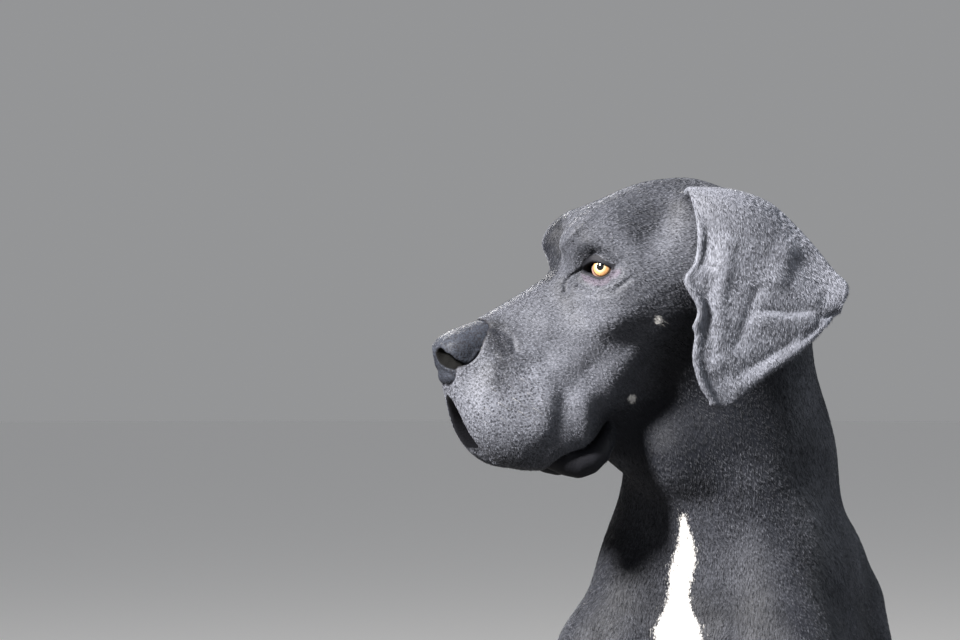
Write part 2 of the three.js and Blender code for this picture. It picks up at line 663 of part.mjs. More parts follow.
// Cells of the grids that the surfaces are worked out on
const CELL = { trunk: 26, neck: 26, limb: 15, paw: 12, head: 14, face: 10 };

// Head: the flews, the mouth between them, the nose, the eyes and the ears
const inHead = (a, o, u) => flesh(...headPoint(a, o, u));
const headTicks = [
  ticks(-150, 262, CELL.head, 60, 262, CELL.face), ticks(-140, 140, 11), ticks(-240, 122, 12, -60, 60, 10)];
const mirror = new THREE.Matrix4().makeScale(1, -1, 1).elements;
const both = (made) => [made, made.transform(mirror)];
const grown = (made, [a, o, u], by) => made.translate([-a, -o, -u]).scale(by).translate([a, o, u]);

const ball = solid(new THREE.SphereGeometry(EYE.radius, 12, 8).translate(...EYE.at));
const pad = meshOf(padField, ticks(186, 262, 7), ticks(-34, 34, 7), ticks(-94, -28, 7), 0.3);
let nose = pad;
for (const s of [-1, 1]) nose = nose.subtract(nostril(s));
let jaw = meshOf(jawField, ticks(64, 230, 12), ticks(-52, 52, 10), ticks(-190, -90, 10));
let mouth = meshOf(mouthField, ticks(60, 300, 12), ticks(-60, 60, 10), ticks(-260, -90, 11));
for (const s of [-1, 1]) {
  jaw = jaw.add(lipFold(s, 0));
  mouth = mouth.add(lipFold(s, 1.6));
}
jaw = jaw.intersect(beyond({ at: [JAW_BACK, 0, 0], faces: [1, 0, 0] }, GAP));
mouth = mouth.intersect(beyond({ at: [JAW_BACK, 0, 0], faces: [1, 0, 0] }, 0));
const [earLeft, earRight] = [1, -1].map((side) => flap(earHanging(side), 13, 9, earThick));
const ears = [earLeft, earRight.transform(mirror)];
const earRoom = (side, n) => beyond({ at: [0, (n ? -1 : 1) * EAR_CUT, 0], faces: [0, n ? -side : side, 0] }, GAP / 2);
let head = meshOf(inHead, ...headTicks, SLACK.head);
ears.forEach((ear, n) => { head = head.add(ear.intersect(earRoom(-1, n))); });
for (const lid of both(lids())) head = head.add(lid);
for (const socket of both(grown(ball, EYE.at, 1 + GAP / EYE.radius))) head = head.subtract(socket);
head = head.subtract(mouth).subtract(grown(pad, NOSE.at, 1 + GAP / NOSE.radii[2])).subtract(groove());
place("head", keep(fromHead(head), NAPE), coat);
place("lower_jaw", fromHead(jaw), leather);
place("nose", fromHead(nose.subtract(groove())), leather);
both(ball).forEach((made, n) => place("eye_" + ["left", "right"][n], fromHead(made), eyeball));
ears.forEach((ear, n) => place("ear_" + ["left", "right"][n], fromHead(ear.intersect(earRoom(1, n))), coat));
const neckBox = [ticks(-190, 190, CELL.neck), ticks(-380, -20, CELL.neck), ticks(540, 1060, CELL.neck)];
place("neck", keep(meshOf(flesh, ...neckBox), WITHERS, flip(NAPE)), coat);

// Torso, and the legs that its blocks of room leave free
let torso = keep(
  meshOf(flesh, ticks(-220, 220, CELL.trunk), ticks(-400, 320, CELL.trunk), ticks(-30, 800, CELL.trunk), SLACK.trunk),
  flip(WITHERS), FLOOR, flip(TAIL_ROOT));
for (const [side, s] of [["left", 1], ["right", -1]]) {
  const across = (near, far, cell) => ticks(min(s * near, s * far), max(s * near, s * far), cell);
  const fore = meshOf(flesh, across(20, 180, CELL.limb), ticks(-340, -100, CELL.limb), ticks(60, 430, 20));
  place("forearm_" + side, keep(fore, ELBOW, armSide(s), armBack(s), flip(PASTERN)), coat);
  let paw = meshOf(flesh, across(24, 156, CELL.paw), ticks(-350, -170, CELL.paw), ticks(-20, 130, CELL.paw));
  for (const one of claws(s, FORE_PAW)) paw = paw.add(one);
  place("fore_paw_" + side, keep(paw, PASTERN, FLOOR), coat);
  const hind = meshOf(flesh, across(70, 250, 20), ticks(-220, 300, 20), ticks(-20, 440, 20));
  place("thigh_" + side, keep(hind, groin(s), FOLD, FLANK, flip(HOCK), flip(armBack(s))), coat);
  place("shank_" + side, keep(hind, groin(s), flip(FOLD), flip(HOCK), flip(armBack(s))), coat);
  let foot = meshOf(flesh, across(80, 220, 12.5), ticks(-190, 200, 30, -190, -80, 14), ticks(-20, 120, 14));
  for (const one of claws(s, HIND_PAW)) foot = foot.add(one);
  place("hind_paw_" + side, keep(foot, groin(s), HOCK, FLOOR), coat);
  torso = torso.subtract(room(ELBOW, armSide(s), armBack(s)));
  torso = torso.subtract(room(FLANK, groin(s), flip(armBack(s))));
}
place("torso", torso, coat);

// Tail
const tailBase = meshOf(flesh, ticks(-60, 110, 14), ticks(180, 440, 18), ticks(-20, 180, 14));
place("tail_base", keep(tailBase, TAIL_ROOT, flip(TAIL_MID), FLOOR), coat);
const tailEnd = bar(tailPoints, tailPoints.map((_, i) => tailRadius(i)), 9);
place("tail_tip", keep(tailEnd, TAIL_MID, FLOOR), coat);

// The origin is the floor point below the middle of the dog's box.
const middle = new THREE.Box3().setFromObject(dog).getCenter(new THREE.Vector3());
dog.position.set(-middle.x, -middle.y, 0);

export default dog;
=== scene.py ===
"""A life-size great dane that sits upright, its head turned to its right, in the looks of a short blue coat.

The flesh is one rounded surface. Bones and muscles are forms that melt into one another, and together
they make a field: the millimetres from a place to the surface, negative inside. The skin is the
surface of that field. Shapes are worked out in millimetres, with +Z up and the chest facing -Y, and
the meshes are in metres.
"""

import math

import bpy
import numpy as np
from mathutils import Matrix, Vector


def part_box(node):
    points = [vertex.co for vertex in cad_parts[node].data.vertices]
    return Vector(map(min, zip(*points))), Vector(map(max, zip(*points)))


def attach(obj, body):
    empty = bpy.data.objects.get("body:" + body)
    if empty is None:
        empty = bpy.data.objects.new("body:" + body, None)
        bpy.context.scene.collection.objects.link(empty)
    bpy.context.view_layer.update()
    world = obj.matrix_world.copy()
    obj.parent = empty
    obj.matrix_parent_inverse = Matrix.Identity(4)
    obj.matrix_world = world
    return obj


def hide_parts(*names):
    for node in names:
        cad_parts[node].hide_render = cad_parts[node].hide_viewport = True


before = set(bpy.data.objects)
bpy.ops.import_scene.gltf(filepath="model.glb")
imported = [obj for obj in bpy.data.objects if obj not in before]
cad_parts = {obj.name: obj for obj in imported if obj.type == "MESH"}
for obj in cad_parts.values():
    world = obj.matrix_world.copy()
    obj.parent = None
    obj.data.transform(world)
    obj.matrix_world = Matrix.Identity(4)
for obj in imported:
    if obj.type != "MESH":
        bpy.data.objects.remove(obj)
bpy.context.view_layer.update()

bl_info = {
    "name": "Great dane looks",
    "version": (1, 0, 0),
    "blender": (4, 5, 0),
    "location": "3D View > Sidebar > Dane",
    "description": "Skin, coat, eyes, nose, claws and stage of a sitting great dane",
    "category": "Object",
}

MM = 0.001

# The head's place: the point between the ear roots, and its turn to the dog's right
TURN = math.radians(50)
HEAD_AT = (-12.0, 248.0, 948.6)

# The eyeball's middle in the head's frame, ahead, out and up, and its radius
EYE_AT = (97.5, 46.0, 19.5)
EYE_RADIUS = 13.5


# Curves and forms

def curve(pairs):
    """A smooth curve through (place, value) pairs, level beyond its ends: a cubic between neighbours
    whose slope at each pair is that of the line through the pairs on both sides of it."""
    x, y = np.array(pairs, dtype=float).T
    last = len(x) - 1
    before = np.maximum(np.arange(last + 1) - 1, 0)
    after = np.minimum(np.arange(last + 1) + 1, last)
    slope = (y[after] - y[before]) / (x[after] - x[before])

    def value(place):
        place = np.clip(place, x[0], x[-1])
        i = np.clip(np.searchsorted(x, place, side="right") - 1, 0, last - 1)
        h = x[i + 1] - x[i]
        t = (place - x[i]) / h
        ease = t * t * (3 - 2 * t)
        bend = h * t * (1 - t) * (slope[i] * (1 - t) - slope[i + 1] * t)
        return y[i] + (y[i + 1] - y[i]) * ease + bend

    return value


def smooth(low, high, value):
    """0 below low, 1 above high, and 3 t^2 - 2 t^3 between them."""
    t = np.clip((value - low) / (high - low), 0, 1)
    return t * t * (3 - 2 * t)


def melt(a, b, soft):
    """The union of two forms, rounded where they meet: the smaller distance, less soft / 4 times the
    square of how near the two are to each other as a share of soft."""
    h = np.maximum(soft - np.abs(a - b), 0) / soft
    return np.minimum(a, b) - h * h * soft / 4


def carve(a, b, soft):
    """What is inside both forms, rounded where they meet."""
    return -melt(-a, -b, soft)


def blob(p, centre, radii):
    """Distance to an egg: k (k - 1) / g, where k is the place's length in units of the radii and g
    is that length in units of their squares."""
    k = sum(((p[i] - centre[i]) / radii[i]) ** 2 for i in range(3)) ** 0.5
    g = sum(((p[i] - centre[i]) / radii[i] ** 2) ** 2 for i in range(3)) ** 0.5
    return k * (k - 1) / np.maximum(g, 1e-6)


def muscle(p, a, b, ra, rb, flat=1.0):
    """Distance to a rod from a to b whose radius runs from ra to rb, made flat times as wide along
    the first axis: the length from the nearest place on the line, less the radius there."""
    d = [b[i] - a[i] for i in range(3)]
    t = sum((p[i] - a[i]) * d[i] for i in range(3)) / sum(v * v for v in d)
    t = np.clip(t, 0, 1)
    off = [p[i] - a[i] - t * d[i] for i in range(3)]
    length = ((off[0] / flat) ** 2 + off[1] ** 2 + off[2] ** 2) ** 0.5
    return (length - (ra + (rb - ra) * t)) * (flat + (1 - flat) * 0.35)


def melted(p, forms, d=None):
    """The forms of a list melted one after another: (soft, centre, radii) is a blob, and
    (soft, from, to, radius, radius, flatness) a muscle."""
    for soft, *sizes in forms:
        part = blob(p, *sizes) if len(sizes) == 2 else muscle(p, *sizes)
        d = part if d is None else melt(d, part, soft)
    return d


def rope(p, points, radii, soft):
    """Distance to a round bar through a line of points, its radius given at each, rounded at its bends."""
    d = None
    for a, b, ra, rb in zip(points[:-1], points[1:], radii[:-1], radii[1:]):
        part = muscle(p, a, b, ra, rb)
        d = part if d is None else melt(d, part, soft)
    return d


def near_line(p, line):
    """Distance to a line of points, the smallest of those to its stretches, in two or three axes."""
    best = None
    for a, b in zip(line[:-1], line[1:]):
        d = [v - u for u, v in zip(a, b)]
        t = sum((q - u) * w for q, u, w in zip(p, a, d)) / sum(w * w for w in d)
        t = np.clip(t, 0, 1)
        far = sum((q - u - t * w) ** 2 for q, u, w in zip(p, a, d))
        best = far if best is None else np.minimum(best, far)
    return best ** 0.5


def relief(p, marks):
    """Folds and hollows: each (height, width, line) adds height times e to the minus square of the
    distance to its line over its width. A negative height is a groove."""
    lift = 0
    for height, width, line in marks:
        lift = lift + height * np.exp(-((near_line(p, line) / width) ** 2))
    return lift


def to_left(p):
    """Places seen from the dog's left side, out, ahead and up, with its right side mirrored there."""
    return np.stack([np.abs(p[0]), -p[1], p[2]])


# The head, in its own frame: ahead to the nose, out to its left, up

def to_head(p):
    """Turns places of the dog's frame into the head's: ahead, out and up from the point between the
    ear roots."""
    side = p[0] - HEAD_AT[0]
    ahead = -p[1] - HEAD_AT[1]
    c, s = math.cos(TURN), math.sin(TURN)
    return ahead * c - side * s, side * c + ahead * s, p[2] - HEAD_AT[2]


def from_head(q):
    """Turns places of the head's frame into the dog's."""
    a, o, u = q
    c, s = math.cos(TURN), math.sin(TURN)
    return HEAD_AT[0] - a * s + o * c, -(HEAD_AT[1] + a * c + o * s), HEAD_AT[2] + u


def way_from_head(way):
    """Turns directions of the head's frame into the dog's."""
    turned, start = from_head(way), from_head((0.0, 0.0, 0.0))
    return np.stack([turned[i] - start[i] for i in range(3)])


SKULL_TOP = curve([
    (-92, 0), (-75, 48), (-50, 82), (-27, 99), (0, 108), (30, 107.5), (60, 100.5), (88, 86), (108, 66),
    (124, 40), (140, 17), (155, 6), (187, -13), (222, -33), (240, -44), (250, -58)])
HEAD_LOW = curve([
    (-92, -20), (-60, -62), (-30, -80), (10, -88), (36, -94), (60, -106), (80, -126), (97, -146), (112, -158),
    (135, -167), (165, -171), (190, -169), (209, -159), (226, -138), (236, -112), (244, -90)])
TOP_WIDTH = curve([(-92, 30), (-60, 52), (-20, 66), (30, 68), (80, 58), (110, 47), (140, 34),
                   (170, 31), (205, 29), (230, 22), (250, 18)])
MID_WIDTH = curve([(-92, 34), (-60, 60), (-20, 76), (30, 80), (75, 74), (105, 60), (135, 47),
                   (170, 43), (205, 38), (230, 28), (250, 18)])
LOW_WIDTH = curve([(-92, 30), (-60, 48), (-20, 56), (30, 56), (75, 52), (110, 50), (150, 54),
                   (185, 53), (215, 44), (235, 32), (250, 20)])
SQUARENESS = curve([(-92, 2), (30, 2.2), (100, 2.4), (150, 2.8), (210, 2.8), (250, 2.2)])
HEAD_FRONT, HEAD_BACK = 244, -92

# What the field of a squared egg is multiplied by, to stay near the true distance
EGG_SLACK = 0.9

BROW = (22, (86, 33, 44), (48, 28, 33))
CHEEKBONE = (26, (52, 56, -4), (60, 21, 34))
FLEW = (18, (158, 34, -112), (62, 21, 52))
EAR_ROOT = (26, (-14, 46, 60), (46, 28, 30))
EYE_HOLLOW = ((117, 66, 18), (22, 19, 15))
THROAT = (30, (42, 0, -134), (44, 30, 46))
THROAT_LUMP = (32, (16, 26, -158), (26, 20, 28))


def head_field(q):
    """The head: a squared egg of changing profile and width along its length, with the brow, the
    cheekbone, the flew and the root of the ear melted on, and the hollow of the eye."""
    a, out, u = q[0], np.abs(q[1]), q[2]
    top, low = SKULL_TOP(a), HEAD_LOW(a)
    half = (top - low) / 2
    level = np.clip((u - low) / (top - low), 0, 1)
    mid = MID_WIDTH(a)
    above = mid + (TOP_WIDTH(a) - mid) * np.maximum(level * 2 - 1, 0) ** 1.5
    below = LOW_WIDTH(a) + (mid - LOW_WIDTH(a)) * np.minimum(level * 2, 1)
    wide = np.where(level > 0.5, above, below)
    n = SQUARENESS(a)
    rho = ((out / wide) ** n + (np.abs(u - low - half) / half) ** n) ** (1 / n)
    d = (rho - 1) * np.minimum(wide, half) * EGG_SLACK
    d = carve(d, a - HEAD_FRONT - 0.1 * (u + 70), 14)
    d = carve(d, HEAD_BACK - a, 30)
    p = (a, out, u)
    d = melted(p, [BROW, CHEEKBONE, FLEW, EAR_ROOT], d)
    return carve(d, -blob(p, *EYE_HOLLOW), 12)


# The nose pad's profile: its top and bottom edge and its half width, by place ahead
NOSE_TOP = curve([(195, -25), (218, -32), (235, -38.5), (246, -45), (254, -56)])
NOSE_BOTTOM = curve([(195, -78), (215, -86), (232, -91), (242, -88), (254, -80)])
NOSE_WIDTH = curve([(195, 22), (212, 26), (224, 26), (238, 22.5), (248, 18), (254, 14)])
NOSE_FRONT, NOSE_BACK = 252, 196
NOSE_WING = ((229, 16.5, -57), (17, 12, 14))
NOSE_SOLE = ((233, 9, -81), (11, 13, 9))


def nose_pad(q):
    """The nose leather without its holes: a squared egg of changing profile and width, cut to a front
    that leans back, with a wing on each side and a small lobe below each nostril."""
    a, out, u = q[0], np.abs(q[1]), q[2]
    top, low = NOSE_TOP(a), NOSE_BOTTOM(a)
    half = (top - low) / 2
    level = (u - low - half) / half
    wide = NOSE_WIDTH(a) * (1 - 0.3 * smooth(0, 1, -level))
    rho = ((out / wide) ** 2.5 + np.abs(level) ** 2.5) ** 0.4
    d = (rho - 1) * np.minimum(wide, half) * EGG_SLACK
    d = carve(d, 0.95 * (a - NOSE_FRONT) - 0.31 * (u + 55), 11)
    d = carve(d, NOSE_BACK - a, 10)
    return melted((a, out, u), [(7, *NOSE_WING), (5, *NOSE_SOLE)], d)


JAW_BACK = 90
JAW = ((-134, 70, 0), (-131, 186, 0), 27, 24, 0.74)
LIP_FOLD = [(90, 26, -134), (95, 29, -144), (102, 32, -153), (111, 34, -160), (121, 34, -163),
            (132, 32, -161), (143, 28, -157), (155, 21, -151)]
LIP_FOLD_RADII = (7, 9, 10.5, 11.3, 11.5, 11, 10, 8)
MOUTH_TROUGH = ((0, 40, -182), (0, 262, -150), 61, 51, 0.5)
MOUTH_GAP = 2.4


def lip_fold(q):
    """The fold of the lower lip at each corner of the mouth."""
    return rope((q[0], np.abs(q[1]), q[2]), LIP_FOLD, LIP_FOLD_RADII, 6)


def jaw_field(q):
    """The lower jaw, from the corner of the mouth to the chin, with the fold of the lower lip that
    hangs at each corner of the mouth."""
    jaw = muscle((q[2], q[0], q[1]), *JAW)
    return melt(jaw, lip_fold(q), 6)


def mouth_field(q, jaw):
    """The room between the flews that the jaw sits in, a little larger than the jaw."""
    trough = muscle((q[1], q[0], q[2]), *MOUTH_TROUGH)
    room = melt(trough, jaw - MOUTH_GAP, 3)
    return carve(room, JAW_BACK - q[0], 6)


# The lids: the opening's upper and lower edge, across the eye towards the nose and up, seen along
# the eye's outward direction
LIDS_OUTWARD = math.radians(50)
LID_TOP = curve([(-10.8, -0.4), (-9.3, 0.6), (-5, 2.6), (0, 4.3), (5, 5.3), (9, 5.2), (13, 3.6),
                 (16.5, 1.2), (19.5, -2)])
LID_LOW = curve([(-10.8, 0.6), (-9.6, -2.8), (-6, -5.8), (-1, -7.6), (4, -7.2), (8, -5.8), (12, -4.4),
                 (16, -3.4), (19.5, -2)])
LID_MIDDLE, LID_HALF = 4.35, 15.15
LID_THICK = 2.6

# How far from the eye its lids change the face, and the room left round the ball below them
LID_REACH = 40
LID_CLEAR = 0.6
EYE_ROOM = 0.35


def eye_frame(q):
    """Places seen from the eye: across towards the nose, up, and out along the lids' direction."""
    a, out, u = q[0] - EYE_AT[0], np.abs(q[1]) - EYE_AT[1], q[2] - EYE_AT[2]
    c, s = math.cos(LIDS_OUTWARD), math.sin(LIDS_OUTWARD)
    return a * s - out * c, u, a * c + out * s


def lid_gap(across, up):
    """Millimetres to the rim of the lids' opening, negative inside it."""
    gap = np.maximum(up - LID_TOP(across), LID_LOW(across) - up)
    return np.maximum(gap * 0.85, np.abs(across - LID_MIDDLE) - LID_HALF)


def with_lids(q, d):
    """The flesh with both lids: a shell round the eyeball melts into the face, and the opening and
    the eyeball's own room are carved from it."""
    across, up, out = eye_frame(q)
    reach = (across ** 2 + up ** 2 + out ** 2) ** 0.5
    near = reach < LID_REACH
    if not near.any():
        return d
    across, up, out, reach = across[near], up[near], out[near], reach[near]
    gap = lid_gap(across, up)
    shell = np.abs(reach - EYE_RADIUS - LID_CLEAR - LID_THICK / 2) - LID_THICK / 2
    shell = np.maximum(shell, -out)
    face = melt(d[near], shell, 7)
    floor = np.interp(across, [9, 19], [-4, 9])
    opening = np.maximum(gap, floor - out)
    face = carve(face, -opening, 2.2)
    d = d.copy()
    d[near] = np.maximum(face, EYE_RADIUS + EYE_ROOM - reach)
    return d


# The ear: its front and rear edges from the root over the crest to the lower border, how far it
# stands out, how much it bows to make its cup, and how far the lower border hangs below its corners
def down(values):
    """A curve from the ear's root, 0, to its lower border, 1, through values at fixed places."""
    return curve(list(zip((0, 0.1, 0.2, 0.28, 0.36, 0.5, 0.7, 0.88, 1), values)))


EAR_FRONT_A = curve([(0, 14), (0.1, 20), (0.2, 24), (0.28, 23), (0.36, 20.5), (0.46, 21), (0.52, 25),
                     (0.57, 34.5), (0.605, 33.5), (0.66, 26), (0.7, 23.5), (0.75, 27.5), (0.79, 25.5),
                     (0.88, 28), (0.95, 23), (1, 13)])
EAR_FRONT_U = down((62, 82, 93, 83, 64, 28, -22, -66, -105))
EAR_REAR_A = down((-44, -45, -49, -57, -66, -84, -104, -116, -109))
EAR_REAR_U = down((46, 68, 80, 74, 63, 42, 15, -3, -25))
EAR_OUT = down((34, 56, 76, 88, 95, 99, 101, 102, 101))
EAR_BOW = down((2, 8, 13, 16, 16, 12, 7, 4, 3))
EAR_BORDER = curve([(0, 0), (0.05, -6.5), (0.12, -11), (0.2, -11), (0.34, -7), (0.5, -5.5), (0.65, -5.5),
                    (0.79, -3.5), (0.92, 2), (1, 5)])

# How far the ear's middle stays off the cheek and, near its lower border, off the neck
EAR_REST = 4.6
EAR_REST_LOW = 15.0

# The ear's thickness in the flap, what its root and its rims add, and how far its flesh can reach
EAR_THICK = 3.7
EAR_ROOT_THICK = 8
EAR_RIM_THICK = 1.9
EAR_MARGIN = 16

# How many places the ear's table has from root to lower border and from front to rear edge
EAR_ROWS, EAR_COLS = 97, 73

# Folds of the ear, in the head's side view
EAR_FOLDS = [
    (-1.3, 4, [(-36, -20), (-58, -22), (-82, -20)]),
    (1.4, 7, [(-36, -30), (-58, -33), (-80, -31)]),
    (-1.7, 6.5, [(-30, -3), (-20, -31), (-12, -50)]),
    (-1.6, 6, [(-96, -8), (-88, -34), (-78, -48)]),
    (-5.0, 4, [(-99, -26), (-108, -21), (-118, -20)]),
    (2.4, 9, [(-58, 34), (-50, 8)]),
    (-1.8, 12, [(-80, 22), (-92, 4)]),
    (2.0, 7, [(-4, 40), (6, -10), (8, -70)]),
    (-2.0, 7, [(14, 60), (14, 20), (14, -20), (10, -60)]),
    (1.5, 6, [(-12, -92), (-30, -84), (-60, -66), (-90, -46)]),
    (-1.1, 5, [(-16, -76), (-34, -66), (-62, -50)]),
]


def ear_place(s, t):
    """A place on the ear, s from root to lower border and t from front to rear edge: straight across
    between the two edges, bowed outwards by an arch, hung lower in the middle."""
    arch = 1 - (2 * t - 1) ** 2
    a = EAR_FRONT_A(s) + (EAR_REAR_A(s) - EAR_FRONT_A(s)) * t
    u = EAR_FRONT_U(s) + (EAR_REAR_U(s) - EAR_FRONT_U(s)) * t + EAR_BORDER(t) * s ** 4
    out = EAR_OUT(s) + EAR_BOW(s) * (arch - 0.5) + 14 * s * t * t
    hanging = smooth(0.3, 0.45, s)
    out = out + hanging * relief((a, u), EAR_FOLDS)
    out = out + 2.2 * hanging * np.exp(-((t / 0.07) ** 2)) * np.sin(s * 21)
    out = out + 2.5 * hanging * np.exp(-((t / 0.04) ** 2))
    return np.stack([a, out, u + 5 * arch * (1 - s)])


def ear_table(side):
    """The ear's places on an even grid of s and t, pushed out from the cheek and neck of its side
    until it rests on them."""
    s, t = np.meshgrid(np.linspace(0, 1, EAR_ROWS), np.linspace(0, 1, EAR_COLS), indexing="ij")
    a, out, u = ear_place(s.ravel(), t.ravel())
    rest = EAR_REST + (EAR_REST_LOW - EAR_REST) * smooth(0.45, 0.95, s.ravel())
    for _ in range(4):
        depth = flesh(np.stack(from_head((a, side * out, u))))
        out = out + np.maximum(0, rest - depth) * (s.ravel() > 0.3)
    return np.stack([a, out, u]).reshape(3, EAR_ROWS, EAR_COLS)


def read_table(table, s, t):
    """The table's values between its grid places, mixed from the four around each."""
    y = np.clip(s, 0, 1) * (EAR_ROWS - 1)
    x = np.clip(t, 0, 1) * (EAR_COLS - 1)
    i = np.minimum(y.astype(int), EAR_ROWS - 2)
    j = np.minimum(x.astype(int), EAR_COLS - 2)
    y, x = y - i, x - j
    upper = table[:, i, j] * (1 - x) + table[:, i, j + 1] * x
    lower = table[:, i + 1, j] * (1 - x) + table[:, i + 1, j + 1] * x
    return upper * (1 - y) + lower * y


def ear_nearest(table, q):
    """The nearest place on the ear's sheet for each place: the closest of a coarse set, then a few
    steps along the sheet by the normal equations of its two slopes."""
    rows, cols = np.arange(0, EAR_ROWS, 8), np.arange(0, EAR_COLS, 8)
    coarse = table[:, rows][:, :, cols].reshape(3, -1)
    pick = np.empty(q.shape[1], dtype=int)
    for start in range(0, q.shape[1], 20000):
        part = q[:, start:start + 20000]
        far = sum((part[i][:, None] - coarse[i][None, :]) ** 2 for i in range(3))
        pick[start:start + 20000] = far.argmin(axis=1)
    s = rows[pick // len(cols)] / (EAR_ROWS - 1)
    t = cols[pick % len(cols)] / (EAR_COLS - 1)
    slope_s, slope_t = np.gradient(table, 1 / (EAR_ROWS - 1), 1 / (EAR_COLS - 1), axis=(1, 2))
    for _ in range(5):
        off = q - read_table(table, s, t)
        es, et = read_table(slope_s, s, t), read_table(slope_t, s, t)
        ss, st, tt = (es * es).sum(0), (es * et).sum(0), (et * et).sum(0)
        rs, rt = (es * off).sum(0), (et * off).sum(0)
        det = np.maximum(ss * tt - st * st, 1e-3)
        s = np.clip(s + np.clip((tt * rs - st * rt) / det, -0.08, 0.08), 0, 1)
        t = np.clip(t + np.clip((ss * rt - st * rs) / det, -0.08, 0.08), 0, 1)
    off = q - read_table(table, s, t)
    return s, t, (off * off).sum(0) ** 0.5


EARS = {}


def with_ears(q, d):
    """The head's flesh with both ears: a sheet of changing thickness, melted into the skull at its
    root, and laid against the cheek and neck below it."""
    for side in (1, -1):
        if side not in EARS:
            EARS[side] = ear_table(side)
        table = EARS[side]
        mine = np.stack([q[0], side * q[1], q[2]])
        low = table.reshape(3, -1).min(axis=1) - EAR_MARGIN
        high = table.reshape(3, -1).max(axis=1) + EAR_MARGIN
        near = np.all((mine > low[:, None]) & (mine < high[:, None]), axis=0)
        if not near.any():
            continue
        s, t, far = ear_nearest(table, mine[:, near])
        rims = ((1.0, t / 0.03), (0.8, (1 - s) / 0.025), (0.5, (1 - t) / 0.03))
        rim = sum(share * np.exp(-(off ** 2)) for share, off in rims)
        thick = EAR_THICK + EAR_ROOT_THICK * np.maximum(0, 1 - s / 0.3) ** 2
        thick = thick + EAR_RIM_THICK * np.minimum(rim, 1) * smooth(0.2, 0.4, s)
        soft = 1.5 + 18 * (1 - smooth(0.08, 0.34, s))
        d = d.copy()
        d[near] = melt(d[near], far - thick / 2, soft)
    return d


# The body, in the frame of its left side: out, ahead, up
BLADE = (64, 104, 684)
SHOULDER = (88, 256, 598)
ELBOW = (98, 194, 430)
WRIST = (90, 226, 168)
KNUCKLE = (90, 248, 62)
HIP = (72, -85, 190)
KNEE = (146, 84, 276)
HOCK = (132, -126, 76)
TOE_ROOT = (152, 74, 34)
FORE_PAW = (90, 254, 1)
HIND_PAW = (152, 84, 0.92)
TOES = ((-30, -12), (-10.5, 2), (10.5, 2), (30, -12))
CLAW_LENGTH = 17
CLAW_RADIUS = 4.8

TRUNK = [
    (0, (0, 148, 572), (0, 84, 452), 134, 136, 0.88),
    (60, (0, 84, 452), (0, -42, 296), 136, 110, 0.86),
    (60, (0, -42, 296), (0, -98, 150), 110, 104, 0.92),
    (40, (26, 240, 566), (66, 52, 76)),
    (36, (54, -138, 62), (60, 64, 74)),
    (44, BLADE, SHOULDER, 44, 44, 1),
    (40, (70, 62, 636), (86, 56, 520), 48, 54, 1),
    (40, (74, 196, 678), (46, 62, 60)),
    (34, (34, 206, 764), SHOULDER, 28, 44, 1),
    (40, (84, 160, 560), ELBOW, 60, 44, 1),
    (30, SHOULDER, ELBOW, 46, 44, 1),
]
FORE_LEG = [
    (0, ELBOW, (90, 214, 250), 45, 29, 1),
    (20, (90, 214, 250), WRIST, 29, 27, 1),
    (24, (97, 168, 436), (94, 188, 350), 30, 26, 1),
    (20, (90, 226, 165), (28.5, 28, 48)),
    (14, WRIST, KNUCKLE, 25, 30, 1),
]
THIGH = [
    (0, HIP, KNEE, 122, 62, 0.6),
    (40, (88, -128, 118), (124, 20, 190), 86, 60, 0.62),
]
SHANK = [
    (0, KNEE, (132, -70, 122), 54, 34, 0.85),
    (16, (132, -70, 122), HOCK, 34, 27, 0.9),
]
FOOT = [
    (0, (128, -134, 42), TOE_ROOT, 33, 28, 0.94),
    (12, (128, -136, 56), (28, 34, 50)),
]
NECK_LOW = ((0, 150, 640), (4, 180, 776), 118, 102, 0.92)
NECK_HIGH = ((-38, -57, -170), (0, -40, -58), 92, 82, 0.82)

TAIL = np.array([
    (0, 172, 168), (0, 226, 112), (4, 280, 42), (30, 346, 15), (88, 412, 11.5), (166, 450, 8.6),
    (252, 462, 6)], dtype=float)
TAIL_ROOT_RADIUS = 33
TAIL_TIP_RADIUS = 7
TAIL_STEPS = 18


def smooth_line(points, steps):
    """Evenly spaced places on a smooth line through points, by a cubic through each coordinate."""
    run = np.r_[0, np.cumsum(np.linalg.norm(np.diff(points, axis=0), axis=1) ** 0.5)]
    fine = np.linspace(0, run[-1], 40 * len(points))
    dense = np.stack([curve(list(zip(run, points[:, i])))(fine) for i in range(3)], axis=1)
    far = np.r_[0, np.cumsum(np.linalg.norm(np.diff(dense, axis=0), axis=1))]
    even = np.linspace(0, far[-1], steps + 1)
    return np.stack([np.interp(even, far, dense[:, i]) for i in range(3)], axis=1)


TAIL_POINTS = smooth_line(TAIL, TAIL_STEPS)
TAIL_RADII = (TAIL_ROOT_RADIUS + (TAIL_TIP_RADIUS - TAIL_ROOT_RADIUS)
              * (np.arange(TAIL_STEPS + 1) / TAIL_STEPS) ** 0.6)


def nearest_tail_step(p):
    """The number of the tail's point that is nearest to each place."""
    return sum((p[i][:, None] - TAIL_POINTS[None, :, i]) ** 2 for i in range(3)).argmin(1)


